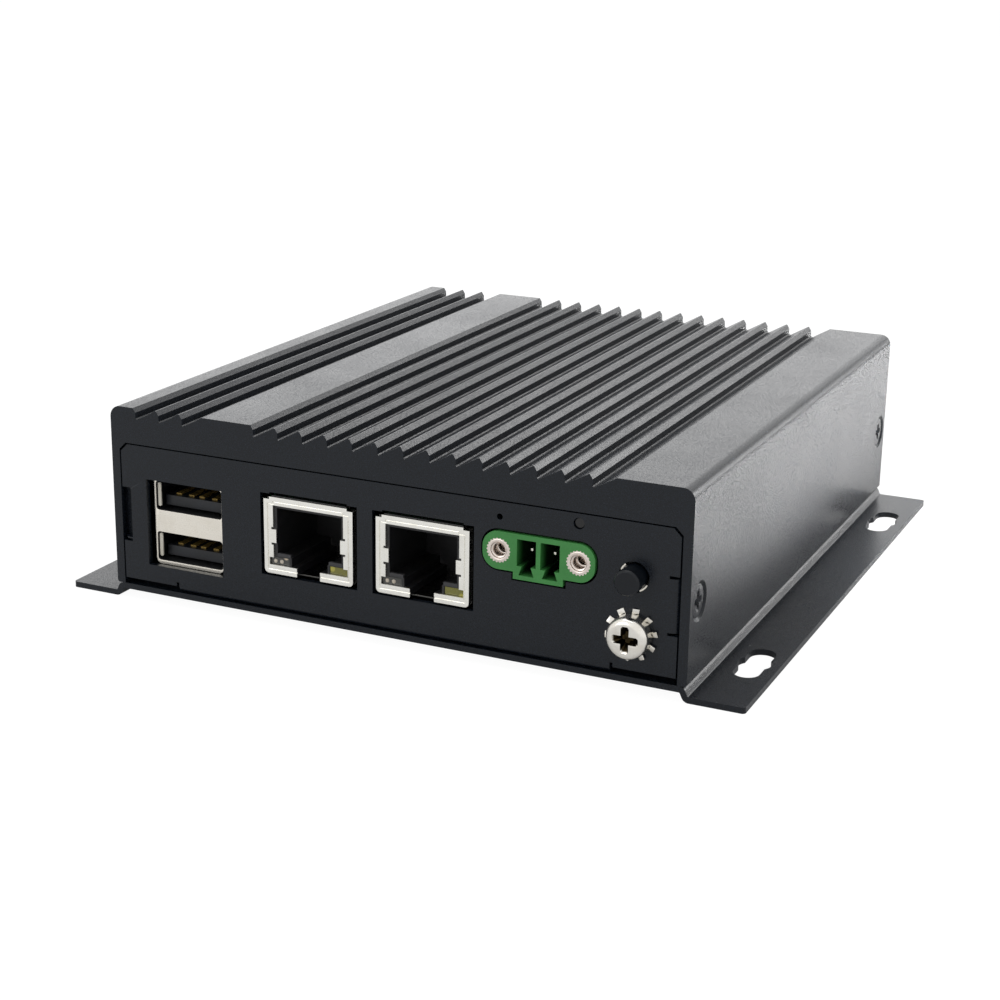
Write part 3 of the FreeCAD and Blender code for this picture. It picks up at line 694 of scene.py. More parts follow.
def solid_copy(node: str) -> Object:
    """Copy a solid's mesh, with its loose triangles merged.

    Args:
        node: name of the solid.

    Returns:
        The copy, free to change.
    """
    form = gathered(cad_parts[node])
    bmesh.ops.remove_doubles(form, verts=form.verts, dist=SOLID_MERGE)
    return as_object(node + "_copy", form)


def ride(piece: Object, slot: str, *nodes: str, body: Body = Body.COMPUTER) -> None:
    """Register a finished piece.

    Args:
        piece: the piece.
        slot: the record's material slot for it; not used.
        nodes: solids that it stands for.
        body: the body that it moves with.
    """
    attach(piece, body.value)
    if nodes:
        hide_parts(*nodes)
    LOG.info("%s: %d faces on %s", piece.name, len(piece.data.polygons), body.value)


# ------------------------------------------------------------------ finishes


def times(colour: Colour, share: float) -> Colour:
    """Return a colour made lighter or darker by a share."""
    return tuple(min(1, part * share) for part in colour)


@dataclass(frozen=True)
class Finish:
    """What all finishes share: a name, and a hook that may add painted shade to the colour."""

    name: str

    def with_painted_shade(self, bench: ShaderBench, tint: Socket) -> Socket:
        """Return the colour with its painted shade, which is none on a plain finish."""
        return tint


@dataclass(frozen=True)
class TexturedCoat(Finish):
    """Satin black coat with a fine grain, as on the housing and the sheet parts."""

    colour: Colour = (0.0034, 0.0052, 0.0084)
    grain: float = 0.20 * MM
    grain_depth: float = 0.006 * MM
    roughness: float = 0.30
    shine: float = 0.33
    cloud_size: float = 18 * MM
    fleck_spacing: float = 0.9 * MM
    fleck_share: float = 0.35
    lump_size: float = 0.8 * MM
    lump_depth: float = 0.003 * MM

    def build(self) -> Material:
        """Build the material.

        Returns:
            The material.
        """
        bench = ShaderBench(self.name)
        fine = bench.cells(self.grain)
        cloud = bench.noise(self.cloud_size)
        flecks = bench.spread(bench.cells(self.fleck_spacing), 1.0, 0.0, 0.0, 0.32)
        raised = bench.spread(fine, 0.0, 1.0, 0.45, 0.75)
        tint = bench.blend(raised, self.colour, times(self.colour, 2.1))
        tint = bench.blend(bench.math("MULTIPLY", flecks, self.fleck_share), tint,
                           times(self.colour, 3))
        gloss = bench.math(
            "ADD", bench.spread(fine, self.roughness - 0.07, self.roughness + 0.09, 0.3, 0.7),
            bench.spread(cloud, -0.03, 0.03, 0.3, 0.7))
        lumps = bench.relief(bench.noise(self.lump_size, 1.0), self.lump_depth, 0.6)
        bench.set(Base_Color=tint, Roughness=gloss, Specular_IOR_Level=self.shine,
                  Normal=bench.relief(fine, self.grain_depth, under=lumps))
        return bench.material


@dataclass(frozen=True)
class PlatedMetal(Finish):
    """Bright plated metal with faint rolling lines and tarnish."""

    colour: Colour = (0.78, 0.76, 0.71)
    shade: Colour = (0.62, 0.58, 0.50)
    roughness: float = 0.24
    line_scale: tuple[float, float, float] = (200.0, 200.0, 9000.0)
    line_depth: float = 0.0012 * MM
    metal: float = 1.0
    tarnish_size: float = 2.4 * MM
    tarnish_share: float = 0.55
    line_share: float = 0.3

    def build(self) -> Material:
        """Build the material.

        Returns:
            The material.
        """
        bench = ShaderBench(self.name)
        lines = bench.noise(1.0, 3.0, bench.stretched(self.line_scale))
        tarnish = bench.noise(self.tarnish_size, 4.0, rough=0.6)
        tint = bench.blend(bench.spread(tarnish, 0.0, self.tarnish_share, 0.45, 0.75),
                           self.colour, self.shade)
        tint = bench.blend(bench.spread(lines, 0.0, self.line_share, 0.4, 0.7), tint, self.shade)
        gloss = bench.math(
            "ADD", bench.spread(tarnish, self.roughness - 0.05, self.roughness + 0.09),
            bench.spread(lines, -0.03, 0.05))
        bench.set(Base_Color=self.with_painted_shade(bench, tint), Metallic=self.metal, Roughness=gloss,
                  Normal=bench.relief(lines, self.line_depth))
        return bench.material


@dataclass(frozen=True)
class ShieldMetal(PlatedMetal):
    """Plated face with painted shade on its sides behind the panel: the colour darkens with depth.
    """

    front: float = 0.0
    # Share of the colour kept where the painted shade is deepest, behind the panel.
    painted_shade_share: float = 0.10

    def with_painted_shade(self, bench: ShaderBench, tint: Socket) -> Socket:
        """Return the colour with painted shade, darker with depth behind the face."""
        depth = bench.behind(self.front, 0.10 * MM, 0.45 * MM)
        return bench.blend(depth, tint, times(self.colour, self.painted_shade_share))


@dataclass(frozen=True)
class RecessedHead(PlatedMetal):
    """Plated screw head with painted shade in its cross recess."""

    # Colour of the painted shade deep in the recess.
    recess_shade_colour: Colour = (0.030, 0.022, 0.010)
    reach: float = 2.1 * MM
    fade_share: float = 0.97

    def with_painted_shade(self, bench: ShaderBench, tint: Socket) -> Socket:
        """Paint shade into the colour below the head's face near its axis.

        Args:
            bench: the material's bench.
            tint: the metal's colour.

        Returns:
            The colour socket.
        """
        low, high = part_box("ground_screw")
        x, _, z = bench.axes()
        across = bench.math("ADD", x, -(low.x + high.x) / 2)
        up = bench.math("ADD", z, -(low.z + high.z) / 2)
        squares = bench.math("ADD", bench.math("MULTIPLY", across, across),
                             bench.math("MULTIPLY", up, up))
        near = bench.spread(squares, 1.0, 0.0, (self.reach * self.fade_share) ** 2,
                            self.reach ** 2)
        deep = bench.behind(low.y, 0.16 * MM, 0.42 * MM)
        return bench.blend(bench.math("MULTIPLY", near, deep), tint, self.recess_shade_colour)


@dataclass(frozen=True)
class Moulding(Finish):
    """Moulded plastic with a spark-eroded grain and slight shade changes."""

    colour: Colour
    shade: Colour
    roughness: float = 0.45
    grain: float = 0.16 * MM
    grain_depth: float = 0.004 * MM
    shine: float = 0.5
    cloud_size: float = 3.5 * MM

    def build(self) -> Material:
        """Build the material.

        Returns:
            The material.
        """
        bench = ShaderBench(self.name)
        cloud = bench.noise(self.cloud_size, 3.0)
        fine = bench.noise(self.grain)
        tint = bench.blend(bench.spread(cloud, 0.0, 1.0, 0.35, 0.7), self.colour, self.shade)
        tint = bench.blend(bench.spread(fine, 0.0, 0.25, 0.5, 0.8), tint,
                           times(self.colour, 1.5))
        gloss = bench.spread(fine, self.roughness - 0.06, self.roughness + 0.08, 0.3, 0.7)
        bench.set(Base_Color=self.with_painted_shade(bench, tint), Roughness=gloss,
                  Specular_IOR_Level=self.shine, Normal=bench.relief(fine, self.grain_depth))
        return bench.material


@dataclass(frozen=True)
class DeepMoulding(Moulding):
    """Moulded plastic with painted shade in its cavities, darker than its face."""

    front: float = 0.0
    # Share of the colour kept where the painted shade is deepest in the cavities.
    cavity_shade_share: float = 0.10

    def with_painted_shade(self, bench: ShaderBench, tint: Socket) -> Socket:
        """Return the colour with painted shade, darker with depth behind the face."""
        depth = bench.behind(self.front, 0.15 * MM, 2.4 * MM)
        return bench.blend(depth, tint, times(self.colour, self.cavity_shade_share))


@dataclass(frozen=True)
class SolderMask(Finish):
    """Green circuit board with copper tracks under the mask."""

    mask: Colour = (0.012, 0.085, 0.035)
    track: Colour = (0.03, 0.17, 0.06)
    track_scale: float = 260.0
    track_depth: float = 0.02 * MM
    area_size: float = 9 * MM

    def build(self) -> Material:
        """Build the material.

        Returns:
            The material.
        """
        bench = ShaderBench(self.name)
        bricks = bench.out("ShaderNodeTexBrick", {
            "Vector": bench.place, "Scale": self.track_scale, "Mortar Size": 0.06,
            "Brick Width": 0.9, "Row Height": 0.22,
        }, "Fac")
        gate = bench.spread(bench.noise(self.area_size, 1.0), 0.0, 1.0, 0.45, 0.5)
        tracks = bench.math("MULTIPLY", bricks, gate)
        bench.set(Base_Color=bench.blend(tracks, self.mask, self.track),
                  Roughness=bench.spread(bench.noise(1.5 * MM), 0.28, 0.42),
                  Normal=bench.relief(tracks, self.track_depth, 0.6))
        return bench.material


@dataclass(frozen=True)
class Lens(Finish):
    """Status light in its bay: tinted body with a few lit-looking dots of its die."""

    colour: Colour
    dot: Colour
    dot_spacing: float = 1.7 * MM
    cloud_size: float = 0.8 * MM

    def build(self) -> Material:
        """Build the material.

        Returns:
            The material.
        """
        bench = ShaderBench(self.name)
        dots = bench.spread(bench.cells(self.dot_spacing), 1.0, 0.0, 0.22, 0.34)
        cloud = bench.noise(self.cloud_size)
        tint = bench.blend(bench.spread(cloud, 0.0, 0.5), self.colour, times(self.colour, 0.5))
        bench.set(Base_Color=bench.blend(dots, tint, self.dot),
                  Roughness=bench.spread(cloud, 0.18, 0.35), Coat_Weight=0.4,
                  Coat_Roughness=0.15)
        return bench.material


class Finishes:
    """Every finish of the part, each built once."""

    def __init__(self) -> None:
        """Build the materials."""
        self.housing = TexturedCoat("satin_black_housing").build()
        self.sheet = TexturedCoat("satin_black_sheet", grain_depth=0.004 * MM,
                                  roughness=0.32).build()
        self.board = SolderMask("solder_mask_green").build()
        self.build_metals()
        self.build_mouldings()
        self.clear_light = Lens("clear_light", (0.05, 0.05, 0.045), (0.75, 0.62, 0.45)).build()
        self.amber_light = Lens("amber_light", (0.20, 0.19, 0.02), (0.42, 0.38, 0.05)).build()

    def build_metals(self) -> None:
        """Build the plated metals."""
        self.screw = PlatedMetal("black_plated_screw", (0.055, 0.056, 0.06), (0.03, 0.03, 0.032),
                                 0.36, (900.0, 900.0, 900.0)).build()
        self.zinc = PlatedMetal("bright_zinc", (0.80, 0.78, 0.73), (0.55, 0.49, 0.38), 0.20,
                                (2500.0, 700.0, 2500.0)).build()
        self.shell = PlatedMetal("tinned_shell", (0.86, 0.82, 0.74), (0.76, 0.71, 0.62)).build()
        self.shield = ShieldMetal("nickel_shield", (0.93, 0.92, 0.87), (0.82, 0.80, 0.73),
                                  front=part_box("left_jack_shield")[0].y).build()
        self.gold = PlatedMetal("gold_contact", (0.40, 0.27, 0.07), (0.26, 0.17, 0.05), 0.34,
                                (900.0, 60.0, 900.0), metal=0.55).build()
        self.insert = PlatedMetal("nickel_insert", (0.80, 0.72, 0.66), (0.60, 0.52, 0.46), 0.25,
                                  (2500.0, 900.0, 2500.0)).build()
        self.ground_head = RecessedHead("bright_head", (0.84, 0.82, 0.77), (0.66, 0.60, 0.50),
                                        0.22).build()

    def build_mouldings(self) -> None:
        """Build the plastics."""
        self.button = Moulding("button_moulding", (0.0034, 0.0052, 0.0084),
                               (0.0028, 0.0044, 0.0070), 0.34, shine=0.3).build()
        self.cream = Moulding("cream_moulding", (0.72, 0.69, 0.60), (0.62, 0.58, 0.49),
                              0.42).build()
        self.slate = Moulding("slate_moulding", (0.012, 0.014, 0.019), (0.007, 0.008, 0.010),
                              0.42).build()
        self.black = Moulding("black_moulding", (0.010, 0.010, 0.011), (0.006, 0.006, 0.007),
                              0.42).build()
        self.green = DeepMoulding("green_moulding", (0.052, 0.255, 0.060), (0.042, 0.215, 0.049),
                                  0.38, shine=0.4, front=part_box("power_header")[0].y).build()
        self.chip = Moulding("chip_package", (0.016, 0.016, 0.018), (0.010, 0.010, 0.011), 0.55,
                             0.1 * MM).build()
        self.pad = Moulding("thermal_pad_grey", (0.24, 0.27, 0.32), (0.20, 0.22, 0.27), 0.75,
                            0.3 * MM, 0.01 * MM).build()
        self.smoke = Moulding("smoked_lens", (0.006, 0.006, 0.007), (0.004, 0.004, 0.005),
                              0.2).build()
        self.grey = Moulding("grey_moulding", (0.035, 0.035, 0.038), (0.025, 0.025, 0.027),
                             0.5).build()
        self.warm_dot = Moulding("warm_dot", (0.66, 0.60, 0.50), (0.52, 0.46, 0.38),
                                 0.35).build()


# ------------------------------------------------------------------ housing


def wall_seats() -> list[Seat]:
    """Place the screws in the housing's walls.

    Returns:
        The point and the outward axis of each.
    """
    low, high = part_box("housing")
    return [(Vector((x, y, SCREW_HEIGHT)), Vector((math.copysign(1, x), 0, 0)))
            for x in (low.x, high.x) for y in (low.y + SCREW_INSET, high.y - SCREW_INSET)]


@dataclass
class FinnedHousing:
    """Inverted channel with saw-tooth fins, drawn by a node tree along its length."""

    finish: Material
    pitch: float = 4.5 * MM
    fin_depth: float = 1.95 * MM
    left_rail: float = 4.5 * MM
    left_grooves: int = 3
    band_pitches: int = 2
    right_grooves: int = 14
    tooth_chamfer: Point = (0.46 * MM, 0.74 * MM)
    lean: float = 0.04 * MM
    foot_facet: Point = (0.13 * MM, 0.21 * MM)
    floor: float = 0.28 * MM
    land: float = 0.2 * MM
    wall: float = 1.53 * MM
    roof: float = 6.13 * MM
    ceiling_chamfer: float = 1.2 * MM
    top_corner: float = 1.9 * MM
    lower_edge: float = 0.4 * MM
    sink_radius: float = 3.2 * MM
    sink_proud: float = 1.0 * MM
    hole_radius: float = 1.55 * MM
    hole_depth: float = 3.0 * MM
    edge: float = 0.09 * MM

    def __post_init__(self) -> None:
        """Read the housing's box."""
        self.low, self.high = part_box("housing")
        self.first_groove = self.low.x + self.left_rail

    def groove_outline(self) -> Object:
        """Draw one pitch of the saw-tooth line.

        Returns:
            The line, from x 0 at the height of the tips.
        """
        chamfer_x, chamfer_z = self.tooth_chamfer
        facet_x, facet_z = self.foot_facet
        wall_foot = chamfer_x + self.lean
        foot = wall_foot + facet_x
        return line_object("groove_outline", [
            (0, 0), (chamfer_x, -chamfer_z), (wall_foot, facet_z - self.fin_depth),
            (foot, -self.fin_depth), (foot + self.floor, -self.fin_depth),
            (self.pitch - self.land, 0), (self.pitch, 0),
        ])

    def rest_outline(self) -> Object:
        """Draw the outline's plain stretches.

        Returns:
            A line round the right side, ceiling, left side and rail, and one for the band.
        """
        right, top, low = self.high.x, self.high.z, self.low.z
        inner, ceiling = right - self.wall, top - self.roof
        corner, lower = self.top_corner, self.lower_edge
        right_start = self.first_groove + (self.left_grooves + self.band_pitches) * self.pitch
        right_end = right_start + self.right_grooves * self.pitch
        half = [*arc((right - corner, top - corner), corner, 90, 0, 12),
                *arc((right - lower, low + lower), lower, 0, -90, 3), (inner, low),
                (inner, ceiling - self.ceiling_chamfer), (inner - self.ceiling_chamfer, ceiling)]
        band = [(self.first_groove + self.left_grooves * self.pitch, top), (right_start, top)]
        return line_object("rest_outline", [
            (right_end, top), *mirrored(half), (self.first_groove, top)], band)

    def extruded(self) -> Object:
        """Draw the outline with a node tree and pull it along the housing.

        Returns:
            The raw housing.
        """
        bench = GeometryBench("finned_outline")
        groove = bench.shape("Groove", self.groove_outline())
        rest = bench.shape("Rest", self.rest_outline())
        pitch = bench.size("Pitch", self.pitch)
        tip = bench.size("Tip Height", float(self.high.z))
        length = bench.size("Length", float(self.high.y - self.low.y))
        rear = bench.size("Rear", float(self.high.y))
        start = bench.size("First Groove", float(self.first_groove))
        right_start = bench.out("ShaderNodeMath", {
            0: pitch, 1: float(self.left_grooves + self.band_pitches), 2: start,
        }, operation="MULTIPLY_ADD")
        rows = [
            bench.scatter(bench.row(bench.size(label, count), bench.vector(where, tip),
                                    bench.vector(pitch)), groove)
            for label, count, where in (("Left Grooves", self.left_grooves, start),
                                        ("Right Grooves", self.right_grooves, right_start))
        ]
        ring = bench.merged(bench.real(bench.join(*rows)), rest)
        face = bench.out("GeometryNodeFillCurve", {
            "Curve": bench.out("GeometryNodeMeshToCurve", {"Mesh": ring}),
        }, mode="TRIANGLES")
        sides = bench.out("GeometryNodeExtrudeMesh", {
            "Mesh": face, "Offset": bench.vector(z=length), "Offset Scale": 1.0,
            "Individual": False,
        })
        shell = bench.merged(sides, bench.out("GeometryNodeFlipFaces", {"Mesh": face}))
        stood = bench.placed(shell, Rotation=(QUARTER, 0, 0), Translation=bench.vector(y=rear))
        return bench.make("housing_raw", stood, self.finish)

    def sinks(self) -> list[Object]:
        """Shape the countersunk holes in both walls.

        Returns:
            Their cutters.
        """
        depth = self.sink_radius - self.hole_radius
        made = []
        for seat, axis in wall_seats():
            cutter = turned("sink", [
                (0, self.sink_proud), (self.sink_radius + self.sink_proud, self.sink_proud),
                (self.hole_radius, -depth), (self.hole_radius, -self.hole_depth),
                (0, -self.hole_depth)], steps=48)
            cutter.data.transform(Matrix.Translation(seat)
                                  @ Matrix.Rotation(axis.x * QUARTER, 4, "Y"))
            made.append(cutter)
        return made

    def build(self) -> None:
        """Build and register the housing."""
        raw = self.extruded()
        sinks = self.sinks()
        cut(raw, *sinks)
        soften(raw, self.edge, angle=30.0)
        done = settle(raw, "finned_housing", self.finish, sharp=14.0)
        drop(*sinks)
        ride(done, "coated_aluminium", "housing")


# ------------------------------------------------------------------ connectors


@dataclass
class UsbReceptacle:
    """Double-deck receptacle: folded shell, black sheets of painted shade inside the ports, and
    side springs.
    """

    finishes: Finishes
    floor_rise: float = 0.7 * MM
    deck_pitch: float = 8.8 * MM
    port_height: float = 5.0 * MM
    port_depth: float = 11.5 * MM
    metal: float = 0.35 * MM
    right_metal: float = 0.12 * MM
    port_corner: float = 0.5 * MM
    shell_corner: float = 1.1 * MM
    shell_edge: float = 0.06 * MM
    # The black sheets inside the ports are painted shade: insets from the ports' edges, depths
    # behind the front, and edge rounding.
    shade_sheet_outer: float = 0.01 * MM
    shade_sheet_inner: float = 0.07 * MM
    shade_sheet_start: float = 0.12 * MM
    shade_sheet_stop: float = 0.1 * MM
    shade_sheet_edge: float = 0.02 * MM
    spring_start: float = 0.35 * MM
    spring_inset: float = 0.50 * MM
    spring_width: float = 0.62 * MM
    spring_metal: float = 0.3 * MM
    spring_corner: float = 0.28 * MM
    spring_rise: float = 0.55 * MM
    spring_drop: float = 0.35 * MM

    def __post_init__(self) -> None:
        """Read the shell's box."""
        self.low, self.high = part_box("usb_shell")

    def floors(self) -> list[float]:
        """Return the heights of the two ports' floors."""
        lower = self.low.z + self.floor_rise
        return [lower, lower + self.deck_pitch]

    def ports(self, inset: float = 0.0) -> list[list[Point]]:
        """Return the outlines of the two ports, made smaller by inset."""
        left, right = self.low.x + self.metal + inset, self.high.x - self.right_metal - inset
        return [rounded(left, right, z + inset, z + self.port_height - inset, self.port_corner)
                for z in self.floors()]

    def shell(self) -> None:
        """Build and register the shell round the two ports."""
        outline = rounded(self.low.x, self.high.x, self.low.z, self.high.z, self.shell_corner)
        back = self.low.y + self.port_depth
        front = plate("front", [outline, *self.ports()], self.low.y, back, self.shell_edge)
        rear = plate("rear", [outline], back, self.high.y, self.shell_edge)
        ride(assembled("usb_shell_form", self.finishes.shell, front, rear),
             "nickel_plated_shell", "usb_shell")

    def shade_sheets(self) -> None:
        """Build and register black sheets on the walls inside both ports, as painted shade."""
        near = self.low.y + self.shade_sheet_start
        far = self.low.y + self.port_depth - self.shade_sheet_stop
        tubes = [plate("liner", walls, near, far, self.shade_sheet_edge)
                 for walls in zip(self.ports(self.shade_sheet_outer), self.ports(self.shade_sheet_inner))]
        ride(assembled("usb_liners", self.finishes.black, *tubes), "connector_black")

    def springs(self) -> None:
        """Build and register the bright leaf springs beside the ports' left walls."""
        left, start = self.low.x + self.spring_inset, self.low.y + self.spring_start
        leaves = []
        for floor in self.floors():
            leaf = rounded(left, left + self.spring_width, floor + self.spring_rise,
                           floor + self.port_height - self.spring_drop, self.spring_corner)
            leaves.append(plate("leaf", [leaf], start, start + self.spring_metal,
                                self.shell_edge))
        ride(assembled("usb_side_springs", self.finishes.cream, *leaves), "nickel_plated_shell")

    def build(self) -> None:
        """Build every piece."""
        self.shell()
        self.shade_sheets()
        self.springs()


@dataclass
class NetworkJack:
    """Shielded jack: face plate with a raised border, tabs, latch gap and light housings."""

    finishes: Finishes
    side: str
    seam: float = 0.66 * MM
    seam_width: float = 0.20 * MM
    border_proud: float = 0.16 * MM
    border_sunk: float = 0.1 * MM
    border_edge: float = 0.04 * MM
    metal: float = 0.25 * MM
    top_drop: float = 0.40 * MM
    shoulder: float = 0.42 * MM
    shoulder_inset: float = 1.05 * MM
    lower_corner: float = 0.75 * MM
    least_corner: float = 0.15 * MM
    window_half: float = 6.425 * MM
    window_low: float = 1.5 * MM
    window_high: float = 11.60 * MM
    bay_half: float = 7.2 * MM
    bay_high: float = 2.75 * MM
    tab_low: float = 5.25 * MM
    tab_high: float = 7.55 * MM
    tab_reach: float = 0.55 * MM
    tab_notch: float = 0.35 * MM
    latch_half: float = 2.125 * MM
    box_gap: float = 1.0 * MM
    back_edge: float = 0.02 * MM
    block_near: float = 3.5 * MM
    block_far: float = 6.3 * MM
    block_low: float = 2.8 * MM
    block_high: float = 3.45 * MM
    block_gap: float = 0.02 * MM
    block_depth: float = 0.5 * MM
    block_edge: float = 0.08 * MM
    dot_radius: float = 0.36 * MM
    dot_pitch: float = 1.15 * MM
    dot_start: tuple[float, float, float] = (-6.35 * MM, 0.45 * MM, 2.05 * MM)

    def __post_init__(self) -> None:
        """Read the shield's box."""
        self.low, self.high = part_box(f"{self.side}_jack_shield")
        self.middle = (self.low.x + self.high.x) / 2

    def placed(self, points: Sequence[Point]) -> list[Point]:
        """Return points moved from the middle of the jack's lower edge to the part."""
        return [(self.middle + x, self.low.z + z) for x, z in points]

    def contour(self, inset: float = 0.0) -> list[Point]:
        """Draw the outer contour from the latch gap round to the latch gap.

        Args:
            inset: how much smaller it is than the shield.

        Returns:
            Its points.
        """
        half = (self.high.x - self.low.x) / 2 - inset
        top = self.high.z - self.low.z - self.top_drop - inset
        radius = max(self.lower_corner - inset, self.least_corner)
        step_x, step_z = half - self.shoulder_inset, top - self.shoulder
        return mirrored([
            (self.latch_half, inset), *arc((half - radius, inset + radius), radius, -90, 0, 5),
            (half, step_z), (step_x, step_z), (step_x, top)])

    def window(self) -> list[Point]:
        """Draw the window's edge from the left of the latch gap round to its right.

        Returns:
            Its points.
        """
        half, notch_x = self.window_half, self.window_half + self.tab_notch
        tab_x = self.tab_reach - self.window_half
        notch_low, notch_high = self.tab_low - self.tab_notch, self.tab_high + self.tab_notch
        return mirrored([
            (-self.latch_half, self.window_low), (-self.bay_half, self.window_low),
            (-self.bay_half, self.bay_high), (-half, self.bay_high), (-half, notch_low),
            (-notch_x, notch_low), (-notch_x, self.tab_low), (tab_x, self.tab_low),
            (tab_x, self.tab_high), (-notch_x, self.tab_high), (-notch_x, notch_high),
            (-half, notch_high), (-half, self.window_high)])

    def shield(self) -> None:
        """Build and register the shield: face, folds each side of its seam, and box behind."""
        front, rear = self.low.y, self.high.y
        outer, inner = self.contour(), self.contour(self.metal)
        outer_fold = outer + self.contour(self.seam)[::-1]
        inner_fold = self.contour(self.seam + self.seam_width) + self.window()
        proud, sunk = front - self.border_proud, front + self.border_sunk
        parts = [plate("part", [self.placed(outline) for outline in outlines], *sizes)
                 for outlines, *sizes in (
                     ([outer + self.window()], front, front + self.metal),
                     ([outer_fold], proud, sunk, self.border_edge),
                     ([inner_fold], proud, sunk, self.border_edge),
                     ([outer, inner], front + self.box_gap, rear),
                     ([inner], rear - self.metal, rear, self.back_edge))]
        ride(assembled(f"{self.side}_shield_form", self.finishes.shield, *parts),
             "nickel_plated_shell", f"{self.side}_jack_shield")

    def light_housings(self) -> None:
        """Build and register the grey blocks over the two lights."""
        form = bmesh.new()
        near = self.low.y + self.metal + self.block_gap
        for side in (-1, 1):
            left, right = sorted(self.middle + side * x for x in (self.block_near, self.block_far))
            slab(form, (left, near, self.low.z + self.block_low),
                 (right, near + self.block_depth, self.low.z + self.block_high))
        blocks = outward("blocks", form)
        soften(blocks, self.block_edge)
        ride(settle(blocks, f"{self.side}_light_housings", self.finishes.grey),
             "connector_black")

    def light_dots(self) -> None:
        """Build and register the two warm dots on the left light, by a node tree."""
        bench = GeometryBench(f"{self.side}_dots")
        pitch = bench.size("Dot Pitch", self.dot_pitch)
        dot = bench.out("GeometryNodeMeshUVSphere", {
            "Segments": 16, "Rings": 8, "Radius": bench.size("Dot Radius", self.dot_radius)})
        start = Vector((self.middle, self.low.y, self.low.z)) + Vector(self.dot_start)
        line = bench.row(2, start, bench.vector(pitch))
        ride(bench.make(f"{self.side}_light_dots", bench.scatter(line, dot),
                        self.finishes.warm_dot), "light_clear")

    def build(self) -> None:
        """Build every piece."""
        self.shield()
        self.light_housings()
        self.light_dots()


@dataclass
class PowerHeaderMetal:
    """Knurled threaded inserts and tapered pins of the power header."""

    finishes: Finishes
    insert_radius: float = 1.8 * MM
    flange_radius: float = 2.0 * MM
    flange_metal: float = 0.1 * MM
    flange_proud: float = 0.06 * MM
    rim_slope: float = 0.08 * MM
    mouth_bevel: float = 0.14 * MM
    bore_radius: float = 1.05 * MM
    facets: int = 56
    teeth: int = 22
    tooth_height: float = 0.16 * MM
    tooth_root: float = 0.05 * MM
    tooth_drop: Point = (0.01 * MM, 0.03 * MM)
    root_half: float = 0.21 * MM
    tip_half: float = 0.08 * MM
    thread_pitch: float = 0.5 * MM
    thread_depth: float = 0.22 * MM
    thread_share: float = 0.97
    thread_sunk: float = 0.985
    pin_side: float = 1.0 * MM
    pin_edge: float = 0.06 * MM
    tip_side: float = 0.42 * MM
    taper: float = 0.9 * MM

    def ring(self, length: float) -> Object:
        """Turn an insert without its knurl.

        Args:
            length: its reach below height 0.

        Returns:
            The ring.
        """
        outer, bore = self.insert_radius - self.tooth_height, self.bore_radius + self.thread_depth
        flange, top = self.flange_radius - self.tooth_height, self.flange_proud
        return turned("insert_ring", [
            (bore, -length), (outer, -length), (outer, -self.flange_metal), (flange, 0),
            (flange - self.rim_slope, top), (bore + self.mouth_bevel, top),
            (bore, top - self.mouth_bevel), (bore, -length)], self.facets)

    def tooth(self, length: float) -> Object:
        """Shape one knurl tooth, at +X.

        Args:
            length: its reach below height 0.

        Returns:
            The tooth.
        """
        form = bmesh.new()
        wide, narrow = self.root_half, self.tip_half
        drop_out, drop_up = self.tooth_drop
        for reach, low, high in (
                (self.insert_radius, -length, -self.flange_metal),
                (self.flange_radius, -self.flange_metal, self.flange_proud - drop_up)):
            root, tip = reach - self.tooth_height - self.tooth_root, reach - drop_out
            loft(form, [[(root, -wide, z), (tip, -narrow, z), (tip, narrow, z), (root, wide, z)]
                        for z in (low, high)], capped=True)
        return outward("insert_tooth", form)

    def thread(self, bench: GeometryBench, length: float) -> Socket:
        """Wind the thread turn by turn.

        Args:
            bench: the insert's bench.
            length: the insert's length.

        Returns:
            The thread's geometry.
        """
        radius = self.bore_radius + self.thread_depth
        spiral = bench.out("GeometryNodeCurveSpiral", {
            "Resolution": 24, "Rotations": length / self.thread_pitch, "Start Radius": radius,
            "End Radius": radius, "Height": length * self.thread_share})
        profile = bench.out("GeometryNodeCurvePrimitiveCircle", {
            "Resolution": 4, "Radius": bench.size("Thread Height", self.thread_depth),
        }, mode="RADIUS")
        thread = bench.out("GeometryNodeCurveToMesh", {
            "Curve": spiral, "Profile Curve": profile})
        return bench.placed(thread, Translation=(0, 0, -length * self.thread_sunk))

    def inserts(self) -> None:
        """Build and register both inserts by a node tree: ring, knurl teeth and thread."""
        low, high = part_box("header_inserts")
        length = high.y - low.y
        bench = GeometryBench("threaded_insert")
        ring, tooth = self.ring(length), self.tooth(length)
        one = bench.real(bench.join(bench.shape("Ring", ring), bench.crown(tooth, self.teeth),
                                    self.thread(bench, length)))
        faced = bench.placed(one, Rotation=(QUARTER, 0, 0))
        places = bench.row(2, (low.x + self.insert_radius, low.y, (low.z + high.z) / 2),
                           (high.x - low.x - 2 * self.insert_radius, 0, 0))
        made = bench.make("inserts_raw", bench.scatter(places, faced), self.finishes.insert)
        drop(ring, tooth)
        ride(settle(made, "threaded_inserts", self.finishes.insert, sharp=50.0),
             "gold_contact", "header_inserts")

    def pins(self) -> None:
        """Build and register the two square pins with tapered tips."""
        low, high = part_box("power_pins")
        half = self.pin_side / 2
        height = low.z + half
        form = bmesh.new()
        for x in (low.x + half, high.x - half):
            loft(form, [[(x + a * side / 2, y, height + b * side / 2)
                         for a, b in ((-1, -1), (1, -1), (1, 1), (-1, 1))]
                        for side, y in ((self.tip_side, low.y), (self.pin_side, low.y + self.taper),
                                        (self.pin_side, high.y))], capped=True)
            slab(form, (x - half, high.y - self.pin_side, height), (x + half, high.y, high.z))
        pins = outward("pins_raw", form)
        soften(pins, self.pin_edge)
        ride(settle(pins, "tapered_pins", self.finishes.zinc), "gold_contact", "power_pins")

    def build(self) -> None:
        """Build both pieces."""
        self.inserts()
        self.pins()


# ------------------------------------------------------------------ screws


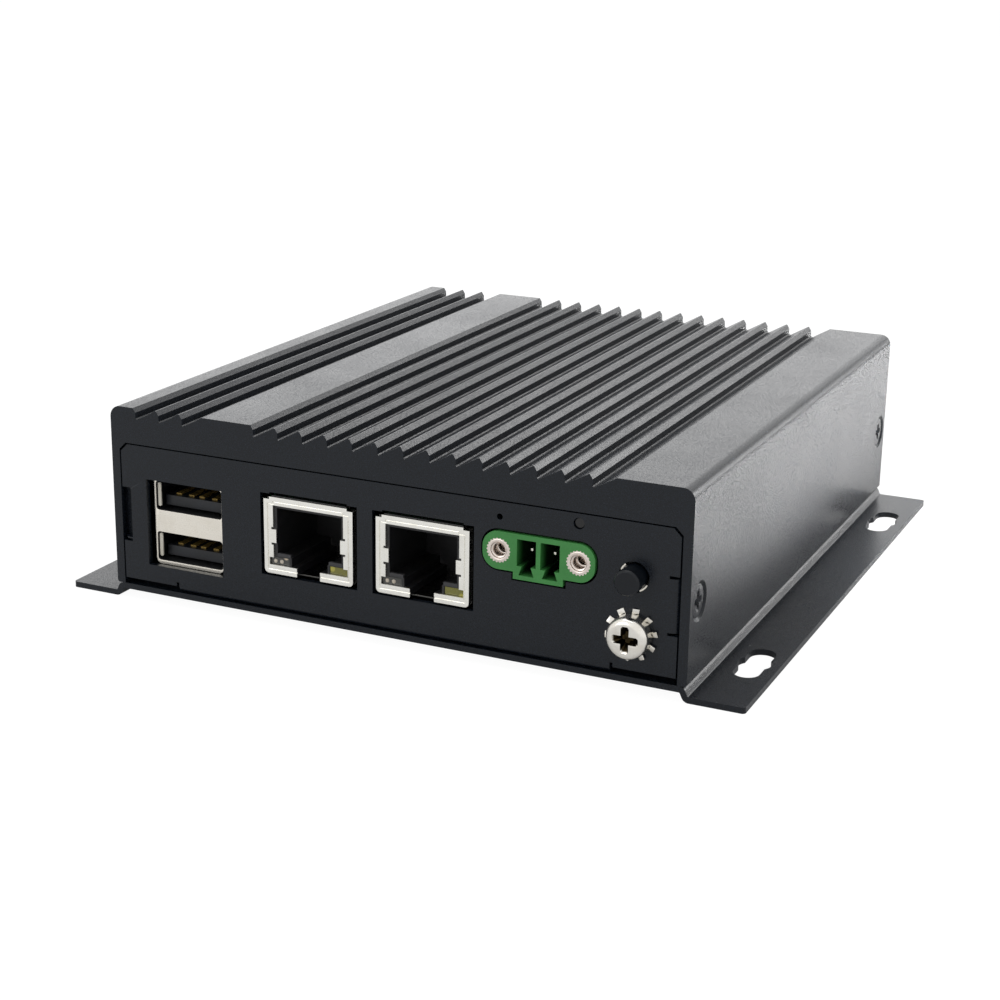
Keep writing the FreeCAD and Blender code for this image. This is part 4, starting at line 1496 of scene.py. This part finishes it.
@dataclass(frozen=True)
class CrossRecess:
    """Tapered cross slot of a screw head."""

    length: float
    width: float
    depth: float
    proud: float = 0.2 * MM
    top_shares: Point = (1.08, 1.0)
    low_shares: Point = (0.42, 0.62)
    flat_share: float = 0.86
    end_share: float = 0.6

    def cutter(self) -> Object:
        """Shape a cutter that sinks from height 0 along -Z.

        Returns:
            The cutter.
        """
        form = bmesh.new()
        for turn in (0.0, QUARTER):
            spin = Matrix.Rotation(turn, 3, "Z")
            rings = []
            for height, (long_share, wide_share) in ((self.proud, self.top_shares),
                                                     (-self.depth, self.low_shares)):
                half, side = self.length / 2 * long_share, self.width / 2 * wide_share
                flat, end = half * self.flat_share, side * self.end_share
                rings.append([spin @ Vector((x, y, height)) for x, y in (
                    (-half, -end), (-flat, -side), (flat, -side), (half, -end),
                    (half, end), (flat, side), (-flat, side), (-half, end))])
            loft(form, rings, capped=True)
        return outward("cross_cutter", form)


@dataclass
class FlatHeadScrews:
    """Countersunk screws set on places by a node tree."""

    finish: Material
    node: str
    head_radius: float
    shank_radius: float
    length: float
    seats: list[Seat]
    sunk: float
    rim: float = 0.12 * MM
    rim_shares: Point = (0.5, 0.35)
    rim_land: float = 0.01 * MM
    recess_length: float = 1.2
    recess_width: float = 0.42
    recess_depth: float = 1.1 * MM
    edge: float = 0.03 * MM

    def one(self) -> Object:
        """Shape one screw with its face at height 0.

        Returns:
            The screw.
        """
        rim, radius, shank = self.rim, self.head_radius, self.shank_radius
        across, down = self.rim_shares
        screw = turned("screw_raw", [
            (0, 0), (radius - 2 * rim, 0), (radius - rim * across, -rim * down),
            (radius - self.rim_land, -rim), (shank, shank - radius), (shank, -self.length),
            (0, -self.length)], steps=48)
        cutter = CrossRecess(radius * self.recess_length, radius * self.recess_width,
                             self.recess_depth).cutter()
        cut(screw, cutter)
        screw = frozen(screw, "screw_one")
        drop(cutter)
        return screw

    def build(self) -> None:
        """Build and register the set."""
        one = self.one()
        seats = bpy.data.meshes.new("seats")
        seats.from_pydata([point - axis * self.sunk for point, axis in self.seats], [], [])
        turns = seats.attributes.new("turn", "FLOAT_VECTOR", "POINT")
        for entry, (_, axis) in zip(turns.data, self.seats):
            entry.vector = Vector(axis.to_track_quat("Z", "Y").to_euler())
        holder = bpy.data.objects.new("seats", seats)
        bench = GeometryBench(f"{self.node}_set")
        turn = bench.out("GeometryNodeInputNamedAttribute", {"Name": "turn"},
                         data_type="FLOAT_VECTOR")
        screws = bench.scatter(bench.shape("Seats", holder), bench.shape("Screw", one), turn)
        made = bench.make(self.node + "_raw", screws, self.finish)
        soften(made, self.edge, segments=1, angle=40.0)
        drop(one, holder)
        ride(settle(made, self.node + "_form", self.finish), "black_screw_steel", self.node)


@dataclass
class GroundTerminal:
    """Pan head screw over a lock washer with twisted teeth."""

    finishes: Finishes
    head_height: float = 2.6 * MM
    head_radius: float = 3.36 * MM
    head_fillet: float = 1.15 * MM
    fillet_drop: float = 0.04 * MM
    crown_share: float = 2.2
    crown_drop: float = 0.005 * MM
    under_bevel: float = 0.12 * MM
    head_edge: float = 0.06 * MM
    recess: CrossRecess = CrossRecess(length=4.3 * MM, width=1.36 * MM, depth=1.6 * MM)
    shank_radius: float = 2.0 * MM
    shank_gap: float = 0.03 * MM
    ring_radius: float = 3.45 * MM
    ring_land: float = 0.2 * MM
    ring_share: float = 0.5
    tooth_radius: float = 4.25 * MM
    tooth_drop: float = 0.02 * MM
    tooth_root: float = 0.35 * MM
    tooth_width: float = 1.05 * MM
    tooth_share: float = 0.3
    tooth_edge: float = 0.07 * MM
    tooth_twist: float = 24.0
    teeth: int = 10
    phase: float = 9.0

    def __post_init__(self) -> None:
        """Read the screw's and the washer's boxes."""
        self.low, self.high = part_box("ground_screw")
        self.washer_low, self.washer_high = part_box("ground_washer")
        self.washer_metal = self.washer_high.y - self.washer_low.y

    def face_panel(self, piece: Object, y: float) -> None:
        """Place a part drawn along +Z so that its top points out of the panel.

        Args:
            piece: the part.
            y: where its height 0 goes.
        """
        x, z = (self.low.x + self.high.x) / 2, (self.low.z + self.high.z) / 2
        piece.data.transform(Matrix.Translation((x, y, z)) @ Matrix.Rotation(QUARTER, 4, "X"))

    def screw(self) -> None:
        """Build and register the screw."""
        radius, height, fillet = self.head_radius, self.head_height, self.head_fillet
        dome = [(radius - fillet + fillet * math.sin(a),
                 height - fillet + fillet * math.cos(a) - self.fillet_drop)
                for a in (math.radians(9 * k) for k in range(11))]
        tip = height - (self.high.y - self.low.y)
        raw = turned("pan_raw", [
            (0, height), (radius - self.crown_share * fillet, height - self.crown_drop), *dome,
            (radius, self.under_bevel), (radius - self.under_bevel, 0), (self.shank_radius, 0),
            (self.shank_radius, tip), (0, tip)], steps=72)
        cutter = self.recess.cutter()
        cutter.data.transform(Matrix.Translation((0, 0, height)))
        cut(raw, cutter)
        soften(raw, self.head_edge, angle=35.0)
        done = settle(raw, "ground_screw_form", self.finishes.ground_head, sharp=38.0)
        drop(cutter)
        self.face_panel(done, self.low.y + height)
        ride(done, "zinc_plated_steel", "ground_screw")

    def tooth(self) -> Object:
        """Shape one twisted washer tooth at +X.

        Returns:
            The tooth.
        """
        form = bmesh.new()
        half, thick = self.tooth_width / 2, self.washer_metal * self.tooth_share
        slab(form, (self.ring_radius - self.tooth_root, -half, -thick),
             (self.tooth_radius - self.tooth_drop, half, thick))
        twist = Matrix.Rotation(math.radians(self.tooth_twist), 4, "X")
        bmesh.ops.transform(form, matrix=twist, verts=form.verts)
        tooth = outward("tooth_raw", form)
        soften(tooth, self.tooth_edge)
        return frozen(tooth, "washer_tooth")

    def washer(self) -> None:
        """Build and register the washer by a node tree: a ring and its teeth."""
        half = self.washer_metal * self.ring_share / 2
        bore, rim = self.shank_radius + self.shank_gap, self.ring_radius - self.ring_land
        ring = turned("washer_ring", [
            (bore, -half), (rim, -half), (rim, half), (bore, half), (bore, -half)], steps=60)
        tooth = self.tooth()
        bench = GeometryBench("lock_washer")
        teeth = bench.crown(tooth, self.teeth, math.radians(self.phase))
        made = bench.make("washer_raw", bench.join(bench.shape("Ring", ring), teeth),
                          self.finishes.zinc)
        self.face_panel(made, (self.washer_low.y + self.washer_high.y) / 2)
        drop(ring, tooth)
        ride(settle(made, "lock_washer", self.finishes.zinc), "zinc_plated_steel",
             "ground_washer")

    def build(self) -> None:
        """Build both pieces."""
        self.screw()
        self.washer()


def side_screws(finishes: Finishes) -> FlatHeadScrews:
    """Return the four screws in the housing's walls."""
    return FlatHeadScrews(finishes.housing, "side_screws", head_radius=2.66 * MM,
                          shank_radius=1.5 * MM, length=4.2 * MM, seats=wall_seats(),
                          sunk=0.24 * MM)


def base_screws(finishes: Finishes) -> FlatHeadScrews:
    """Place the four screws under the mounting plate.

    Args:
        finishes: the part's finishes.

    Returns:
        The set.
    """
    face, half_width, half_length = 1.5 * MM, 30 * MM, 36 * MM
    seats = [(Vector((x, y, face)), Vector((0, 0, -1)))
             for x in (-half_width, half_width) for y in (-half_length, half_length)]
    return FlatHeadScrews(finishes.screw, "base_screws", head_radius=2.05 * MM,
                          shank_radius=1.25 * MM, length=3.4 * MM, seats=seats,
                          sunk=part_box("base_screws")[0].z - face)


# ------------------------------------------------------------------ pieces made from solids


@dataclass
class PressButton:
    """Push button with the bright claws of its switch in the gap round it."""

    finishes: Finishes
    edge: float = 0.12 * MM
    claw_inner: float = 2.08 * MM
    claw_outer: float = 2.42 * MM
    claw_sunk: float = 0.12 * MM
    claw_end: float = 0.95 * MM
    claw_turns: tuple[Point, Point] = ((128, 158), (-66, -26))

    def claws(self) -> None:
        """Build and register the two claws in the panel's hole."""
        low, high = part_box("push_button")
        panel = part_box("chassis")[0].y
        centre = (low.x + high.x) / 2, (low.z + high.z) / 2
        parts = []
        for start, end in self.claw_turns:
            outline = (arc(centre, self.claw_outer, start, end, 8)
                       + arc(centre, self.claw_inner, end, start, 8))
            parts.append(plate("claw", [outline], panel + self.claw_sunk, panel + self.claw_end))
        ride(assembled("button_claws", self.finishes.shell, *parts), "nickel_plated_shell")

    def build(self) -> None:
        """Build and register the button, then the claws."""
        copy = solid_copy("push_button")
        soften(copy, self.edge)
        ride(settle(copy, "push_button_form", self.finishes.button), "button_black",
             "push_button", body=Body.BUTTON)
        self.claws()


@dataclass
class SoftenedParts:
    """Solids whose shape is right, copied with broken edges and their own finish."""

    finishes: Finishes
    ear_slot_low: Point = (-49.30 * MM, 10.9 * MM)
    ear_slot_high: Point = (-47.55 * MM, 19.3 * MM)
    ear_slot_reach: Point = (-1.0 * MM, 1.4 * MM)

    def with_ear_slot(self, chassis: Object) -> Object:
        """Cut the narrow slot beside the panel's left ear.

        Args:
            chassis: the chassis, which is removed.

        Returns:
            The slotted chassis.
        """
        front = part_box("chassis")[0].y
        (left, low), (right, high) = self.ear_slot_low, self.ear_slot_high
        near, far = self.ear_slot_reach
        form = bmesh.new()
        slab(form, (left, front + near, low), (right, front + far, high))
        cutter = outward("slot_cutter", form)
        cut(chassis, cutter)
        slotted = frozen(chassis, "chassis_slotted")
        drop(cutter)
        return slotted

    def build(self) -> None:
        """Build and register every piece."""
        f = self.finishes
        for node, edge, finish, slot in (
            ("mounting_plate", 0.10, f.sheet, "coated_steel"),
            ("chassis", 0.0, f.sheet, "coated_steel"),
            ("power_header", 0.16, f.green, "terminal_green"),
            ("left_jack_insert", 0.06, f.black, "connector_black"),
            ("right_jack_insert", 0.06, f.black, "connector_black"),
            ("usb_insulator", 0.10, f.slate, "connector_cream"),
        ):
            copy = solid_copy(node)
            if node == "chassis":
                copy = self.with_ear_slot(copy)
            soften(copy, edge * MM)
            ride(settle(copy, node + "_form", finish, sharp=22.0), slot, node)


@dataclass
class CarriedNodes:
    """Solids that stay as they are and get a finish."""

    finishes: Finishes

    def build(self) -> None:
        """Give each carried solid its material."""
        f = self.finishes
        for finish, names in (
            (f.black, ("board_holders", "button_switch", "memory_socket", "storage_socket",
                       "storage_clip", "cell_holder")),
            (f.board, ("mainboard", "memory_module", "storage_card")),
            (f.chip, ("processor", "memory_chips", "inductors", "capacitors")),
            (f.gold, ("usb_contacts", "left_jack_contacts", "right_jack_contacts")),
            (f.smoke, ("small_light", "guide_light")),
            (f.clear_light, ("link_lights",)),
            (f.amber_light, ("activity_lights",)),
            (f.zinc, ("ground_nut",)),
            (f.shell, ("coin_cell",)),
            (f.pad, ("thermal_pad",)),
        ):
            for name in names:
                dress(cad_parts[name], finish)
                LOG.info("%s keeps its solid, in %s", name, finish.name)


# ------------------------------------------------------------------ studio


def looking(place: Sequence[float], aim: Sequence[float]) -> Matrix:
    """Return the place of a lamp or camera that looks from one point at another."""
    turn = (Vector(aim) - Vector(place)).to_track_quat("-Z", "Y")
    return Matrix.Translation(place) @ turn.to_matrix().to_4x4()


def hang_lamp(name: str, place: Matrix, size: Point, power: float, spread: float = 180.0) -> None:
    """Hang a soft rectangular lamp.

    Args:
        name: the lamp's name.
        place: its position and turn.
        size: its two sides.
        power: its power in watts.
        spread: how wide its beam opens, in degrees.
    """
    data = bpy.data.lights.new(name, "AREA")
    data.shape = "RECTANGLE"
    data.size, data.size_y = size
    data.energy = power
    data.spread = math.radians(spread)
    link(bpy.data.objects.new(name, data)).matrix_world = place


@dataclass
class Studio:
    """Pale floor, soft lamps, white surroundings and the camera."""

    camera_place: tuple[float, float, float] = (0.13612, -0.31200, 0.11532)
    aim: tuple[float, float, float] = (0.0, -0.01370, 0.01214)
    roll: float = 0.916
    lens: float = 69.756
    floor_half: float = 3.0
    floor_drop: float = 0.05 * MM
    floor_grey: float = 0.86
    floor_white: float = 1.12
    floor_share: float = 0.85
    floor_gloss: float = 0.15
    sky_level: float = 0.55
    patch_low: Point = (0.064, 0.0)
    patch_high: Point = (0.30, 0.34)
    patch_height: float = 0.5
    patch_power: float = 0.68
    patch_spread: float = 6.0

    def add_camera(self) -> None:
        """Place the camera and make it the scene's."""
        data = bpy.data.cameras.new("camera")
        data.lens = self.lens
        data.sensor_width = 36.0
        data.clip_start = 0.01
        camera = link(bpy.data.objects.new("camera", data))
        camera.matrix_world = (looking(self.camera_place, self.aim)
                               @ Matrix.Rotation(math.radians(self.roll), 4, "Z"))
        bpy.context.scene.camera = camera

    def add_floor(self) -> None:
        """Lay the floor: pale, white where it is seen directly, with the object's shadow."""
        form = bmesh.new()
        bmesh.ops.create_grid(form, x_segments=4, y_segments=4, size=self.floor_half)
        floor = outward("floor", form)
        floor.data.transform(Matrix.Translation((0, 0, -self.floor_drop)))
        material = bpy.data.materials.new("pale_floor")
        bench = RayBench(material)
        share = bench.math("MULTIPLY", bench.seen_directly(self.floor_gloss), self.floor_share)
        mix = bench.out("ShaderNodeMixShader", {
            0: share,
            1: bench.out("ShaderNodeBsdfDiffuse", {"Color": (self.floor_grey,) * 3}),
            2: bench.out("ShaderNodeEmission", {"Color": (1, 1, 1), "Strength": self.floor_white}),
        })
        bench.add("ShaderNodeOutputMaterial", {"Surface": mix})
        dress(floor, material)

    def add_world(self) -> None:
        """Fill the surroundings: white where seen directly, plain light elsewhere."""
        world = bpy.data.worlds.new("surroundings")
        bpy.context.scene.world = world
        bench = RayBench(world)
        level = bench.out("ShaderNodeMapRange", {
            "Value": bench.seen_directly(), "To Min": self.sky_level, "To Max": 1.0,
        })
        sky = bench.out("ShaderNodeBackground", {"Color": (1, 1, 1), "Strength": level})
        bench.add("ShaderNodeOutputWorld", {"Surface": sky})

    def add_lamps(self) -> None:
        """Hang the softboxes round the object, and a beam on the floor that misses it."""
        for name, place, size, power in (
            ("rear_softbox", (-0.42, 1.15, 0.36), (1.4, 0.5), 2.4),
            ("edge_softbox", (0.66, 1.05, 0.285), (0.38, 0.43), 3.0),
            ("top_softbox", (-0.2, 0.0, 1.2), (0.8, 0.8), 4.0),
            ("front_fill", (-0.5, -1.0, 0.5), (0.6, 0.6), 1.5),
        ):
            hang_lamp(name, looking(place, (0, 0, 0)), size, power)
        (left, near), (right, far) = self.patch_low, self.patch_high
        above = Matrix.Translation(((left + right) / 2, (near + far) / 2, self.patch_height))
        hang_lamp("floor_light", above, (right - left, far - near), self.patch_power,
                  self.patch_spread)

    def build(self) -> None:
        """Build the studio."""
        self.add_camera()
        self.add_floor()
        self.add_world()
        self.add_lamps()
        bpy.context.scene.view_settings.view_transform = "Standard"


def main() -> None:
    """Build the dressed part in order and report each piece."""
    logging.basicConfig(level=logging.INFO, format="%(message)s")
    finishes = Finishes()
    Studio().build()
    FinnedHousing(finishes.housing).build()
    SoftenedParts(finishes).build()
    UsbReceptacle(finishes).build()
    NetworkJack(finishes, "left").build()
    NetworkJack(finishes, "right").build()
    PowerHeaderMetal(finishes).build()
    side_screws(finishes).build()
    base_screws(finishes).build()
    GroundTerminal(finishes).build()
    PressButton(finishes).build()
    CarriedNodes(finishes).build()


if __name__ == "__main__":
    main()
